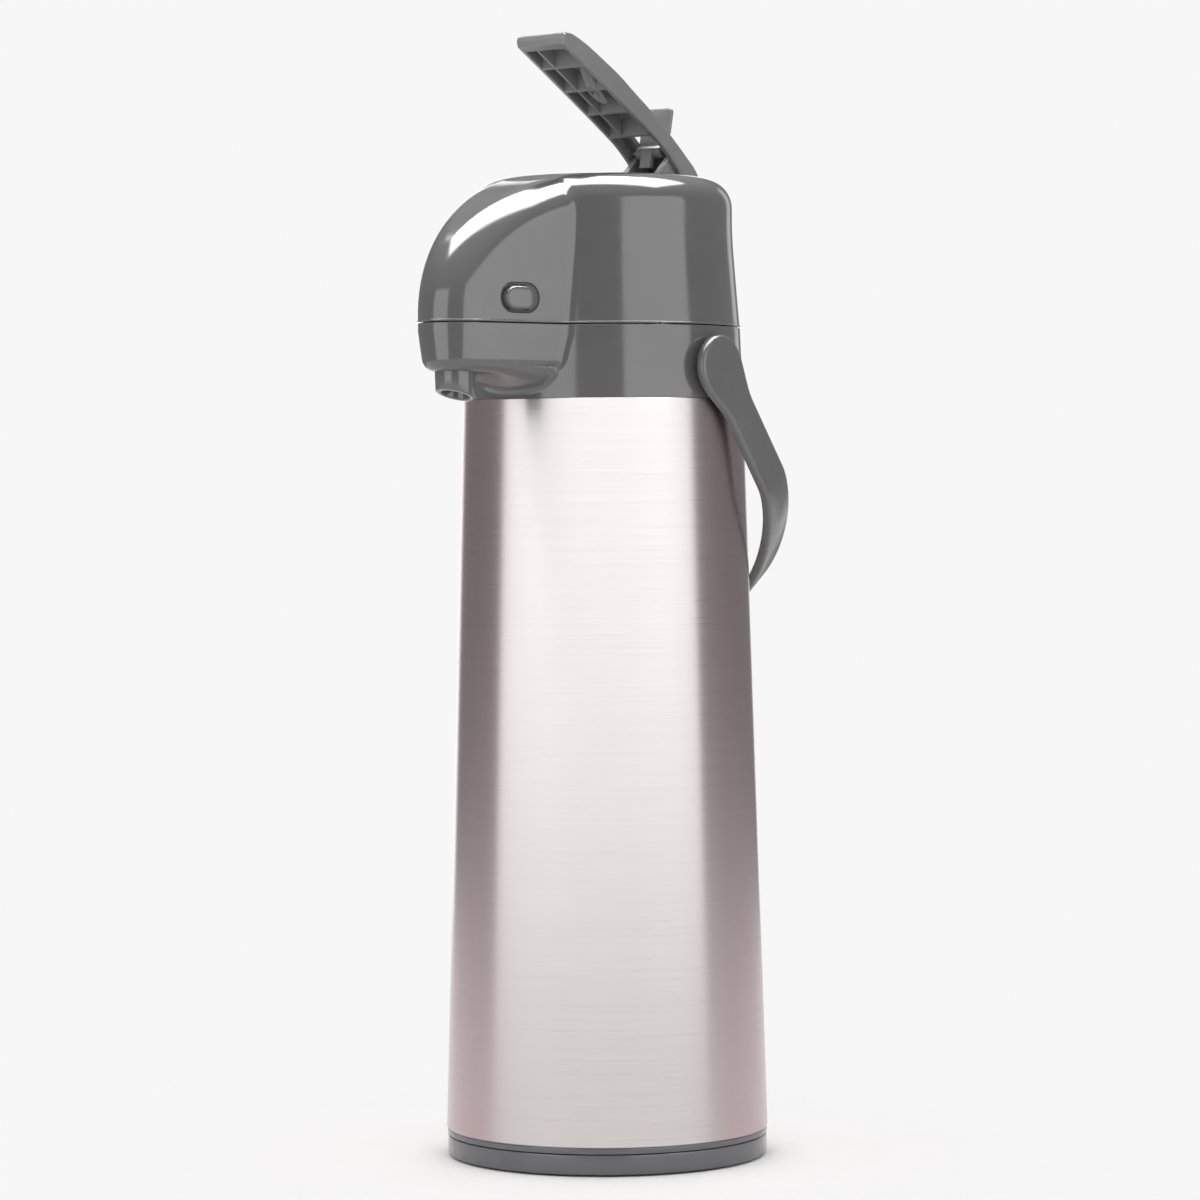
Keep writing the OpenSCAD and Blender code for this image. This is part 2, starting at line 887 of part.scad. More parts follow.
module lever_pin() {
    color(steel)
        rod_x(pivot[0], pivot[1], lever_pin_r, slot_w + 2 * cheek_t);
}

module plunger() {
    color(black)
        difference() {
            union() {
                translate([0, bellows_y, bellows_top_z])
                    cylinder(r = bellows_r - 1, h = plunger_t);
                both_sides()
                    translate([cam_x - rail_w / 2, rail_front_y, bellows_top_z])
                        cube([rail_w, rail_l, rail_top_z - bellows_top_z]);
                translate([-cam_x, 18.5, bellows_top_z])
                    cube([2 * cam_x, 3, rail_top_z - bellows_top_z - 2]);
            }
            translate([0, bellows_y, bellows_top_z - 1])
                cylinder(r = valve_stem_r, h = 10, $fn = 32);
            around(4, 4)
                translate([0, bellows_y, bellows_top_z - 1])
                    cylinder(r = 1, h = plunger_t + 2, $fn = 24);
        }
}

module intake_valve() {
    color(rubber_grey)
        translate([0, bellows_y, 0])
            union() {
                translate([0, 0, bellows_top_z - 1])
                    cylinder(r = 7, h = 1);
                translate([0, 0, bellows_top_z - 0.5])
                    cylinder(r = valve_stem_r, h = plunger_t + 0.5, $fn = 32);
                translate([0, 0, bellows_top_z + plunger_t])
                    cylinder(r = 2.4, h = 1.5, $fn = 32);
            }
}

module lever() {
    inner_w = lever_w - 2 * lever_t;
    color(black)
        difference() {
            union() {
                difference() {
                    union() {
                        along_x(lever_w)
                            polygon(concat(lever_top, lever_low));
                        rod_x(pivot[0], pivot[1], knuckle_r, lever_w);
                    }
                    difference() {
                        along_x(inner_w)
                            polygon(concat(void_top, void_low));
                        for (i = [0 : rib_count - 1])
                            translate([-lever_w / 2, -26 + i * rib_step - rib_t / 2, 440])
                                cube([lever_w, rib_t, 60]);
                        translate([-inner_w / 6 - rib_t, -60, 440])
                            cube([rib_t, 78, 60]);
                    }
                }
                both_sides()
                    translate([cam_x, 0, 0])
                        along_x(cam_t)
                            difference() {
                                polygon([cam_root[0], cam_root[1], cam_root[2], cam_root[3],
                                    cam_tip + [1.6, -3.67], cam_tip + [-3, 2.6]]);
                                translate(cam_tip)
                                    circle(r = cam_tip_r - 0.5);
                            }
                both_sides()
                    rod_x(cam_tip[0], cam_tip[1], cam_tip_r, cam_t, cam_x);
            }
            rod_x(pivot[0], pivot[1], lever_pin_r + run_gap, lever_w + 2);
            rod_x(tab_pivot[0], tab_pivot[1], tab_pin_r, lever_w + 2);
            translate([-tab_neck_w / 2 - 0.4, tab_pivot[0] - 7, tab_pivot[1] - 3])
                cube([tab_neck_w + 0.8, 10.4, 12]);
        }
}

module lock_pin() {
    color(steel)
        rod_x(tab_pivot[0], tab_pivot[1], tab_pin_r - run_gap, lever_w);
}

module lock_tab() {
    color(black)
        translate([0, tab_pivot[0], tab_pivot[1]])
            rotate([-tab_tilt, 0, 0])
                difference() {
                    union() {
                        rod_x(0, 0, tab_hub_r, tab_neck_w);
                        translate([-tab_neck_w / 2, -tab_t / 2, 0])
                            cube([tab_neck_w, tab_t, tab_neck_h + 1]);
                        translate([-tab_w / 2, -tab_t / 2, tab_neck_h])
                            cube([tab_w, tab_t, tab_fin_h]);
                        translate([-3, -3.4, -8])
                            cube([6, 2, 9]);
                    }
                    rod_x(0, 0, tab_pin_r + run_gap, tab_neck_w + 2);
                }
}

module release_button(side) {
    color(black)
        on_face(side)
            union() {
                translate([0, 0, -button_root])
                    linear_extrude(button_root + button_proud)
                        stadium(button_l, button_h);
                translate([0, 0, -button_root])
                    linear_extrude(flange_t)
                        stadium(button_l + flange_grow, button_h + flange_grow);
                translate([4, -4, -button_root])
                    cube([13, 8, flange_t]);
                translate([14, -4, flange_t - button_root - 0.2])
                    cube([3, 8, 0.5]);
            }
}

module release_button_left() {
    release_button(-1);
}

module release_button_right() {
    release_button(1);
}

foot_pads();
screw_cover();
swivel_base();
base_cup();
swivel_washer();
swivel_screw();
body_shell();
flask_cushion();
flask_outer();
flask_inner();
neck_gasket();
collar();
mouth_ring();
mouth_ring_screws();
mouth_plate();
dip_tube();
pour_pipe();
valve_ball();
spout_nozzle();
nozzle_oring();
carry_handle();
pivot_clips();
lid_cover();
lid_plate();
lid_plate_screws();
air_gasket();
bellows();
return_spring();
lid_hinge_pin();
lever_pin();
plunger();
intake_valve();
lever();
lock_pin();
lock_tab();
release_button_left();
release_button_right();
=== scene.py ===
import json
import math

import bpy
import numpy as np
from mathutils import Euler, Matrix, Vector


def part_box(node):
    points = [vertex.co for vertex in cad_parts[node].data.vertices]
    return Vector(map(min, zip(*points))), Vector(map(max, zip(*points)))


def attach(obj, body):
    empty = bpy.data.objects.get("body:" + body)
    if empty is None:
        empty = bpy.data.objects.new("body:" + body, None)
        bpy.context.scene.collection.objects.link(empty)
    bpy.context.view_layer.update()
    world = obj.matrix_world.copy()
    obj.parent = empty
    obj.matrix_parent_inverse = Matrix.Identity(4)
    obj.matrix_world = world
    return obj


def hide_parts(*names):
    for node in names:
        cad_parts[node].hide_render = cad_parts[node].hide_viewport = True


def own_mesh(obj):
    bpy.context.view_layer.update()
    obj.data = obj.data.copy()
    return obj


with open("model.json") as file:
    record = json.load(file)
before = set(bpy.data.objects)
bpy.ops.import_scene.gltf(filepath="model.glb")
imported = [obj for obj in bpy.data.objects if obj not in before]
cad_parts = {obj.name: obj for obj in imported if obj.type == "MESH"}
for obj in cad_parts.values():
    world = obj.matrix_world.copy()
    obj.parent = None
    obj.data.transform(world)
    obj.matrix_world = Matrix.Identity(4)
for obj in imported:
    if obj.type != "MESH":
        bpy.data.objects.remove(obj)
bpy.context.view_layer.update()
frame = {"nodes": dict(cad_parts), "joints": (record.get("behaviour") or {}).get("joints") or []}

MM = 0.001
AROUND = 256          # segments of a turned piece
STAR_AROUND = 360     # columns of a moulding that is cast from an inner point


# ---------------------------------------------------------------- places from the frame

def corners(node):
    """Lowest and highest corner of a CAD node, in millimetres."""
    low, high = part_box(node)
    return low / MM, high / MM


def joint_at(name):
    """Origin of a joint, in millimetres."""
    joint = next(j for j in frame["joints"] if j["name"] == name)
    return Vector(joint["pos_m"]) / MM


def middle(node):
    low, high = corners(node)
    return (low + high) / 2


HINGE = joint_at("lid_hinge")
LEVER_AXLE = joint_at("lever_pivot")
TRUNNION = joint_at("handle_swing")
LOCK_AXLE = joint_at("lock_flip")
SEAM_Z = HINGE.z
SEAM_GAP = 0.4
LID_TOP = corners("lid_cover")[1].z
NOSE_FRONT = -corners("lid_cover")[0].y
SHELL_LOW, SHELL_HIGH = corners("body_shell")
COLLAR_LOW = SHELL_HIGH.z
BELLOWS_LOW, BELLOWS_HIGH = corners("bellows")
SPOUT_Y = -middle("nozzle_oring").y

WALL = 2.2
SHELL_T = 0.6
SHELL_TOP_R = 61.7
COLLAR_TOP_R = 60.5

# Along the seam: rounded edge of the collar, raised bead of the lid
LIP = 0.4
BEAD = 0.45

# Round part of the lid: radius at each height, and the radius of its top edge
LID_Z = [SEAM_Z, SEAM_Z + 17.5, SEAM_Z + 34.5, SEAM_Z + 43.5]
LID_R = [60.4, 59, 57.7, 57.3]
LID_EDGE = 13

# Screw columns of the lid and bosses of the collar: directions and distance from the axis
COLUMN_ANGLES = (38, 142, 200, 340)
COLUMN_R = 50
BOSS_ANGLES = (45, 135, 270)
BOSS_R = 42

# Nose: plan taper, edge radius, and the quarter ellipse of its side view
NOSE_EDGE = 14
NOSE_SLOPE = 0.2166
NOSE_HALF = 26.2
NOSE_AT = 54.6
ARC_Y = 26
ARC_Z = 366
ARC_LONG = NOSE_FRONT - ARC_Y
ARC_HIGH = LID_TOP - ARC_Z
NOSE_TILT = math.atan(NOSE_SLOPE)
NOSE_BACK = 6
NOSE_FLOOR = 342
COLLAR_DRAFT = 0.15   # the lower nose draws in towards its floor
COLLAR_BEND = 5       # edge radius of that floor
CAST_Y = -37          # the mouldings are cast from this line, which every part of them can see


# ---------------------------------------------------------------- mesh helpers

def make_object(name, verts, faces):
    mesh = bpy.data.meshes.new(name)
    mesh.from_pydata((np.asarray(verts, float) * MM).tolist(), [], faces)
    mesh.update()
    obj = bpy.data.objects.new(name, mesh)
    bpy.context.scene.collection.objects.link(obj)
    return obj


def outward(obj):
    """Turns a closed mesh the right way out, by the sign of its volume."""
    mesh = obj.data
    mesh.calc_loop_triangles()
    co = np.array([v.co for v in mesh.vertices])
    tri = np.array([t.vertices for t in mesh.loop_triangles])
    a, b, c = co[tri[:, 0]], co[tri[:, 1]], co[tri[:, 2]]
    if np.einsum("ij,ij->i", a, np.cross(b, c)).sum() < 0:
        mesh.flip_normals()
    return obj


def loft(name, rings, caps=True, wrap=False):
    """Closed skin over rings of equal length. wrap joins the last ring to the first."""
    count = len(rings[0])
    verts = np.concatenate([np.asarray(r, float) for r in rings])
    starts = [i * count for i in range(len(rings))]
    pairs = list(zip(starts, starts[1:] + starts[:1]))
    if not wrap:
        pairs.pop()
    faces = [(a + i, a + (i + 1) % count, b + (i + 1) % count, b + i) for a, b in pairs for i in range(count)]
    if caps and not wrap:
        faces.append(tuple(range(count - 1, -1, -1)))
        faces.append(tuple(range(starts[-1], starts[-1] + count)))
    return outward(make_object(name, verts, faces))


def lathe(name, profile, segments=AROUND, at=(0, 0)):
    """Turned piece: a closed outline of (radius, z) clear of the axis."""
    outline = np.asarray(profile, float)
    rings = []
    for i in range(segments):
        a = math.tau * i / segments
        rings.append(np.stack([at[0] + outline[:, 0] * math.cos(a), at[1] + outline[:, 0] * math.sin(a),
                               outline[:, 1]], 1))
    return loft(name, rings, wrap=True)


def spot(radius, degrees):
    a = math.radians(degrees)
    return radius * math.cos(a), radius * math.sin(a)


def disc(name, steps, segments=AROUND, at=(0, 0)):
    """Turned solid with flat ends, from (radius, z) steps going up."""
    angles = np.arange(segments) * math.tau / segments
    rings = [np.stack([at[0] + r * np.cos(angles), at[1] + r * np.sin(angles), np.full(segments, z)], 1)
             for r, z in steps]
    return loft(name, rings)


def block(name, low, high):
    x0, y0, z0 = low
    x1, y1, z1 = high
    ring = [(x0, y0), (x1, y0), (x1, y1), (x0, y1)]
    return loft(name, [[(x, y, z) for x, y in ring] for z in (z0, z1)])


def rod_x(name, y, z, radius, x0, x1, segments=96, edge=0.0):
    """Round bar along X with an optional rounded edge at both ends."""
    angles = np.arange(segments) * math.tau / segments
    steps = [(radius, x0), (radius, x1)]
    if edge > 0:
        turn = [math.radians(a) for a in (0, 30, 60, 90)]
        low = [(radius - edge + edge * math.sin(a), x0 + edge - edge * math.cos(a)) for a in turn]
        steps = low + [(r, x0 + x1 - x) for r, x in reversed(low)]
    return loft(name, [np.stack([np.full(segments, x), y + r * np.cos(angles), z + r * np.sin(angles)], 1)
                       for r, x in steps])


def arc_corners(points, steps=6):
    """Closed outline whose corners (x, y, radius) become arcs."""
    out = []
    for i, (x, y, radius) in enumerate(points):
        here = Vector((x, y))
        to_last = (Vector(points[i - 1][:2]) - here).normalized()
        to_next = (Vector(points[(i + 1) % len(points)][:2]) - here).normalized()
        half = math.acos(max(-1, min(1, to_last.dot(to_next)))) / 2
        if radius <= 0:
            out.append((x, y))
            continue
        centre = here + (to_last + to_next).normalized() * (radius / math.sin(half))
        first = here + to_last * (radius / math.tan(half)) - centre
        last = here + to_next * (radius / math.tan(half)) - centre
        a0 = math.atan2(first.y, first.x)
        turn = (math.atan2(last.y, last.x) - a0 + math.pi) % math.tau - math.pi
        for k in range(steps + 1):
            a = a0 + turn * k / steps
            out.append((centre.x + radius * math.cos(a), centre.y + radius * math.sin(a)))
    return out


def inset(outline, distance):
    """Closed 2D outline moved inwards along its mitred corners."""
    p = np.asarray(outline, float)
    ahead = np.roll(p, -1, 0) - p
    ahead /= np.linalg.norm(ahead, axis=1)[:, None]
    behind = np.roll(ahead, 1, 0)
    area = np.sum(p[:, 0] * np.roll(p[:, 1], -1) - np.roll(p[:, 0], -1) * p[:, 1])
    side = 1 if area > 0 else -1
    normal = side * np.stack([-(ahead + behind)[:, 1], (ahead + behind)[:, 0]], 1)
    size = np.sum(normal * normal, 1)
    return p + normal * (2 * distance / np.maximum(size, 0.8))[:, None]


def smooth_line(points, per_step=5):
    """Open Catmull-Rom curve through the points."""
    p = np.asarray(points, float)
    p = np.vstack([2 * p[0] - p[1], p, 2 * p[-1] - p[-2]])
    out = []
    for i in range(1, len(p) - 2):
        for k in range(per_step):
            t = k / per_step
            out.append(0.5 * (2 * p[i] + (p[i + 1] - p[i - 1]) * t
                              + (2 * p[i - 1] - 5 * p[i] + 4 * p[i + 1] - p[i + 2]) * t ** 2
                              + (3 * p[i] - p[i - 1] - 3 * p[i + 1] + p[i + 2]) * t ** 3))
    out.append(p[-2])
    return out


def prism_x(name, outline, half, edge=0.0, x=0.0):
    """Outline of (y, z) drawn out along X to both sides, with rounded edges."""
    steps = [(half, 0)]
    if edge > 0:
        turn = [math.radians(a) for a in (90, 60, 30, 0)]
        steps = [(half - edge + edge * math.sin(a), edge - edge * math.cos(a)) for a in turn]
    steps = [(-h, d) for h, d in steps] + [(h, d) for h, d in reversed(steps)]
    rings = []
    for h, d in steps:
        flat = inset(outline, d)
        rings.append(np.column_stack([np.full(len(flat), x + h), flat[:, 0], flat[:, 1]]))
    return loft(name, rings)


def apply_modifiers(obj):
    evaluated = obj.evaluated_get(bpy.context.evaluated_depsgraph_get())
    mesh = bpy.data.meshes.new_from_object(evaluated)
    obj.modifiers.clear()
    obj.data = mesh


def combine(obj, *tools, how="DIFFERENCE"):
    """Cuts the tools out of obj, or joins them to it, and removes them."""
    for tool in tools:
        modifier = obj.modifiers.new("combine", "BOOLEAN")
        modifier.operation = how
        modifier.solver = "MANIFOLD"
        modifier.object = tool
        apply_modifiers(obj)
        bpy.data.objects.remove(tool)
    return obj


def join(obj, *tools):
    return combine(obj, *tools, how="UNION")


def soften(obj, angle=32):
    """Smooth shading that keeps the true edges sharp."""
    obj.data.shade_smooth()
    obj.data.set_sharp_from_angle(angle=math.radians(angle))
    return obj


# ---------------------------------------------------------------- outer fields of the mouldings

def above_zero(x):
    return np.maximum(x, 0)


def rounded_pair(a, b, radius):
    """Distance to a rounded corner; a and b are measured from two faces moved in by the radius."""
    return np.hypot(above_zero(a), above_zero(b)) + np.minimum(np.maximum(a, b), 0) - radius


def blend_fields(a, b, size):
    """Union of two fields with a fillet of about the given size."""
    size = np.maximum(size, 1e-3)
    h = np.clip(0.5 + 0.5 * (b - a) / size, 0, 1)
    return b * (1 - h) + a * h - size * h * (1 - h)


def nose_half(forward):
    """Half width of the nose at a distance in front of the axis."""
    return NOSE_HALF - (forward - NOSE_AT) * NOSE_SLOPE


def arc_distance(px, pz):
    """Distance from the inner quarter ellipse of the nose, negative inside it."""
    a, b = ARC_LONG - NOSE_EDGE, ARC_HIGH - NOSE_EDGE
    px, pz = above_zero(px), above_zero(pz)
    tx = np.full_like(px, math.sqrt(0.5))
    tz = tx.copy()
    for _ in range(4):
        ex = (a * a - b * b) * tx ** 3 / a
        ez = (b * b - a * a) * tz ** 3 / b
        reach = np.hypot(a * tx - ex, b * tz - ez)
        qx, qz = px - ex, pz - ez
        away = np.maximum(np.hypot(qx, qz), 1e-9)
        tx = np.clip((qx * reach / away + ex) / a, 0, 1)
        tz = np.clip((qz * reach / away + ez) / b, 0, 1)
        size = np.maximum(np.hypot(tx, tz), 1e-9)
        tx, tz = tx / size, tz / size
    gap = np.hypot(px - a * tx, pz - b * tz)
    return np.where((px / a) ** 2 + (pz / b) ** 2 > 1, gap, -gap)


def lid_field(p):
    """Outside of the lid: a turned body with a rounded top edge, blended into the nose."""
    x, y, z = p[:, 0], p[:, 1], p[:, 2]
    radius = np.interp(z, LID_Z, LID_R)
    body = rounded_pair(np.hypot(x, y) - radius + LID_EDGE, z - LID_TOP + LID_EDGE, LID_EDGE)
    side = (np.abs(x) - nose_half(-y) + NOSE_EDGE + 0.3) * math.cos(NOSE_TILT)
    nose = rounded_pair(side, arc_distance(-y - ARC_Y, z - ARC_Z), NOSE_EDGE)
    nose = np.maximum(nose, y + NOSE_BACK)
    bead = z - SEAM_Z - SEAM_GAP / 2 - BEAD
    swell = np.sqrt(np.clip(BEAD ** 2 - bead ** 2, 0, None)) * 0.75
    return blend_fields(body, nose, 2.5 * np.clip((LID_TOP - z) / 12, 0, 1)) - swell


def collar_nose_field(p, wall=0.0, floor=None):
    x, y, z = p[:, 0], p[:, 1], p[:, 2]
    forward = -y
    side = (np.abs(x) - nose_half(forward) + NOSE_EDGE + 0.3) * math.cos(NOSE_TILT)
    plan = rounded_pair(side, forward - NOSE_FRONT + NOSE_EDGE, NOSE_EDGE) + wall
    plan = plan + COLLAR_DRAFT * above_zero(SEAM_Z - 4 - z)
    if floor is None:
        # the floor swells down into a chin under the collar
        reach = 85 - forward
        depth = 0.5 * (reach + np.hypot(reach, 8)) / 3
        across = np.clip(1 - (x / np.maximum(nose_half(forward) - 3, 1)) ** 2, 0, 1)
        floor = NOSE_FLOOR - depth * np.sqrt(across)
    field = rounded_pair(plan + COLLAR_BEND, floor - z + COLLAR_BEND, COLLAR_BEND)
    return np.maximum(field, y + NOSE_BACK)


def collar_field(p):
    x, y, z = p[:, 0], p[:, 1], p[:, 2]
    share = (z - COLLAR_LOW) / (SEAM_Z - COLLAR_LOW)
    body = np.hypot(x, y) - SHELL_TOP_R + share * (SHELL_TOP_R - COLLAR_TOP_R)
    lip = z - SEAM_Z + SEAM_GAP / 2 + LIP
    rounding = LIP - np.sqrt(np.clip(LIP ** 2 - above_zero(lip) ** 2, 0, None))
    return blend_fields(body, collar_nose_field(p), 2.5) + rounding


def cast_star(name, field, rows, azimuths=STAR_AROUND):
    """Closed skin where rays from a line of inner points leave the field; rows: (height, rise in radians)."""
    turn = np.arange(azimuths) * math.tau / azimuths
    height = np.array([r[0] for r in rows])
    rise = np.array([r[1] for r in rows])
    way = np.stack([np.outer(np.cos(rise), np.cos(turn)), np.outer(np.cos(rise), np.sin(turn)),
                    np.outer(np.sin(rise), np.ones(azimuths))], 2).reshape(-1, 3)
    start = np.stack([np.zeros(len(rows)), np.full(len(rows), CAST_Y), height], 1).repeat(azimuths, 0)
    near = np.zeros(len(way))
    far = np.full(len(way), 170.0)
    for _ in range(26):
        mid = (near + far) / 2
        inside = field(start + way * mid[:, None]) < 0
        near = np.where(inside, mid, near)
        far = np.where(inside, far, mid)
    points = start + way * near[:, None]
    count = azimuths * len(rows)
    pole = points[-azimuths:].mean(0)
    ends = np.array([[0, CAST_Y, height[0]], pole])
    verts = np.vstack([points, ends])
    faces = []
    for r in range(len(rows) - 1):
        for i in range(azimuths):
            j = (i + 1) % azimuths
            low, high = r * azimuths, (r + 1) * azimuths
            faces.append((low + i, low + j, high + j, high + i))
    last = (len(rows) - 1) * azimuths
    for i in range(azimuths):
        j = (i + 1) % azimuths
        faces.append((j, i, count))
        faces.append((last + i, last + j, count + 1))
    return outward(make_object(name, verts, faces))


def star_rows(start_z, turn_z, end_degrees, low_rows=None, count=88):
    """Level rows from start_z to turn_z, then rows that tilt up or down towards the pole."""
    level = low_rows or [start_z]
    tilt = [end_degrees * i / count for i in range(count)]
    return [(z, 0.0) for z in level] + [(turn_z, math.radians(a)) for a in tilt]


def shade_from_field(obj, field, reach=0.03):
    """Takes the normals of the outer skin from its field, so that reflections run true over the mesh."""
    soften(obj)
    mesh = obj.data
    co = np.array([v.co for v in mesh.vertices]) / MM
    step = 0.02
    slope = np.stack([field(co + step * axis) - field(co - step * axis) for axis in np.eye(3)], 1)
    slope /= np.maximum(np.linalg.norm(slope, axis=1), 1e-9)[:, None]
    on_skin = np.abs(field(co)) < reach
    loops = len(mesh.loops)
    vertex = np.zeros(loops, np.int32)
    mesh.loops.foreach_get("vertex_index", vertex)
    normals = np.zeros(loops * 3)
    mesh.corner_normals.foreach_get("vector", normals)
    normals = normals.reshape(-1, 3)
    start = np.array([f.loop_start for f in mesh.polygons])
    total = np.array([f.loop_total for f in mesh.polygons])
    flat = np.array([f.normal for f in mesh.polygons]).repeat(total, 0)
    whole = np.logical_and.reduceat(on_skin[vertex], start).repeat(total)
    good = whole & (np.einsum("ij,ij->i", flat, slope[vertex]) > 0.85)
    normals[good] = slope[vertex][good]
    mesh.normals_split_custom_set(normals.tolist())


# ---------------------------------------------------------------- base and body

def build_base_cup():
    low, high = corners("base_cup")
    lip = SHELL_LOW.z
    radius = high.x
    cup = lathe("base_cup_moulding", arc_corners([
        (2.9, low.z, 0.2), (20, low.z, 0), (20, low.z + 0.85, 0), (32, low.z + 0.85, 0), (32, low.z, 0),
        (radius, low.z, 0.3), (radius, lip, 0.3), (68.6, lip, 0.2), (68.6, high.z, 0.6),
        (66.8, high.z, 0.6), (66.8, lip, 1), (24, lip, 0.5), (24, 20, 0.4), (21, 20, 0.4), (21, lip, 0.5),
        (8, lip, 0.5), (8, lip + 7.5, 0.4), (2.9, lip + 7.5, 0.3)], 4))
    return soften(cup)


def build_swivel_base():
    low, high = corners("swivel_base")
    radius = high.x
    top = high.z
    plate = top - 2.5
    base = lathe("swivel_foot", arc_corners([
        (8, 4.6, 0), (8, top, 0.4), (radius, top, 0.4), (radius, low.z, 0.9), (radius - 3.5, low.z, 0.8),
        (radius - 3.5, plate, 1.2), (16, plate, 0.8), (16, low.z, 0.6), (12.5, low.z, 0.4),
        (12.5, 4.6, 0.2)], 5))
    pad = middle("foot_pads")
    ring = corners("foot_pads")[1].x - 6
    for i in range(6):
        at = spot(ring, 60 * i)
        join(base, disc("boss", [(8, low.z), (8, plate + 1)], 48, at))
        combine(base, disc("pocket", [(6.02, low.z - 1), (6.02, 2 * pad.z)], 48, at))
        rib = block("rib", (15, -1, low.z + 2), (radius - 2, 1, plate + 1))
        rib.data.transform(Matrix.Rotation(math.radians(60 * i + 30), 4, "Z"))
        join(base, rib)
    return soften(base)


def build_shell():
    """Tapered tube with a hemmed foot and an inward flange under the collar."""
    foot_r = SHELL_HIGH.x
    z0, z1 = SHELL_LOW.z, SHELL_HIGH.z
    inner = foot_r - SHELL_T - 0.08
    shell = lathe("steel_shell", arc_corners([
        (foot_r - 1.5, z0, 0.3), (foot_r, z0, 0.55), (SHELL_TOP_R, z1, 0.45), (SHELL_TOP_R - 6, z1, 0),
        (SHELL_TOP_R - 6, z1 - SHELL_T, 0), (SHELL_TOP_R - SHELL_T, z1 - SHELL_T, 0.2),
        (inner, z0 + 3, 0), (foot_r - 1.5, z0 + 3, 0.3)], 5), 384)
    return soften(shell)


# ---------------------------------------------------------------- collar and spout

def build_collar():
    top = SEAM_Z - SEAM_GAP / 2
    level = [top, top - 0.06, top - 0.15, top - 0.3, top - 0.5, top - 2]
    rows = star_rows(top, SEAM_Z - 4, -88, level)
    collar = cast_star("collar_moulding", collar_field, rows)
    combine(collar, block("below", (-90, -140, -400), (90, 90, COLLAR_LOW)))
    well = disc("well", [(58.1, 336), (58.1, SEAM_Z + 3)])
    nose_rows = [(SEAM_Z + 2, 0.0)] + star_rows(top, SEAM_Z - 4, -88, [top])
    join(well, cast_star("nose_well", lambda p: collar_nose_field(p, WALL, NOSE_FLOOR + 2.6), nose_rows, 180))
    for side in (-1, 1):
        ends = sorted((side * 52, side * 64))
        combine(well, rod_x("bearing", 0, TRUNNION.z, 8, *ends))
    combine(well, block("hinge_pad", (-9, HINGE.y - 12, SEAM_Z - 12), (9, HINGE.y - 4, SEAM_Z - 1)))
    combine(collar, well)
    for side in (-1, 1):
        x0, x1 = sorted((side * 8, side * 16))
        web = block("web", (x0, COLLAR_TOP_R - 1.5, SEAM_Z - 3.8), (x1, HINGE.y, top))
        join(web, rod_x("knuckle", HINGE.y, HINGE.z, 3.8, x0 + 0.05 * (side + 1), x1 + 0.05 * (side - 1), 64))
        join(collar, web)
    for angle in BOSS_ANGLES:
        at = spot(BOSS_R, angle)
        join(collar, disc("boss", [(4.5, 326), (4.5, 336)], 48, at))
        combine(collar, disc("bore", [(1.6, 325), (1.6, 345)], 32, at))
    combine(collar,
            disc("mouth", [(38, 325), (38, 350)]),
            rod_x("handle_bore", 0, TRUNNION.z, 4.05, -70, 70),
            rod_x("pin_bore", HINGE.y, HINGE.z, 1.78, -17, 17, 48),
            disc("spout_bore", [(7.5, 330), (7.5, 346)], 96, (0, -SPOUT_Y)))
    shade_from_field(collar, collar_field)
    return collar


def build_nozzle():
    """Spout with a slanted mouth and one small rib at its back."""
    low, high = corners("spout_nozzle")
    radius, bore = 8.8, 6.1
    root = NOSE_FLOOR + 0.4
    slant = math.tan(math.radians(17))
    mouth = arc_corners([(bore, low.z, 0.7), (radius - 0.35, low.z, 1.0), (radius, root, 0),
                         (radius - 1.35, root, 0), (radius - 1.35, high.z, 0.3), (bore, high.z, 0.3)], 5)
    rings = []
    for i in range(AROUND):
        a = math.tau * i / AROUND
        off_back = abs((math.degrees(a) - 90 + 180) % 360 - 180)
        rib = 0.9 * min(1, max(0, (9 - off_back) / 2.5))
        ring = []
        for r, z in mouth:
            drop = max(0, (root - z) / (root - low.z)) if z <= root else 0
            r = r + (rib if r > 8 else 0)
            y = r * math.sin(a)
            ring.append((r * math.cos(a), y - SPOUT_Y, z + drop ** 2 * slant * (radius - y)))
        rings.append(ring)
    return soften(loft("spout_tip", rings, wrap=True), 40)


# ---------------------------------------------------------------- handle

STRAP_X = 65.45       # middle of the strap's thickness at the pivots
STRAP_T = 4.5
STRAP_HALF = 8.75     # half width
STRAP_STRAIGHT = 60   # length of the straight arms
STRAP_REACH = 133.5   # pivots to the outer face of the bow
STRAP_BOW = 4 / 3     # power that shapes the bow, 1 for an ellipse
STRAP_LEAN = 36.5     # degrees from hanging straight down
STRAP_SPARE = 20      # extra length of the path past each pivot
PADDLE_R = 13.5       # round end at each pivot


def strap_path():
    """Middle line of the strap, with a spare end past each pivot: length so far, across and reach."""
    def bow(c):
        return np.sign(c) * np.abs(c) ** STRAP_BOW
    a = np.linspace(0, math.pi, 241)
    deep = STRAP_REACH - STRAP_T / 2 - STRAP_STRAIGHT
    across = np.concatenate([[STRAP_X], STRAP_X * bow(np.cos(a)), [-STRAP_X]])
    reach = np.concatenate([[-STRAP_SPARE], STRAP_STRAIGHT + deep * bow(np.sin(a)), [-STRAP_SPARE]])
    length = np.concatenate([[0], np.cumsum(np.hypot(np.diff(across), np.diff(reach)))])
    length -= STRAP_SPARE
    return length, across, reach


def strap_half(s):
    """Half width of the strap at a length s from the pivot: a round paddle that eases into the strap."""
    if s < 0:
        return math.sqrt(max(PADDLE_R ** 2 - s ** 2, 0))
    ease = min(1, s / 24)
    return PADDLE_R + (STRAP_HALF - PADDLE_R) * ease * ease * (3 - 2 * ease)


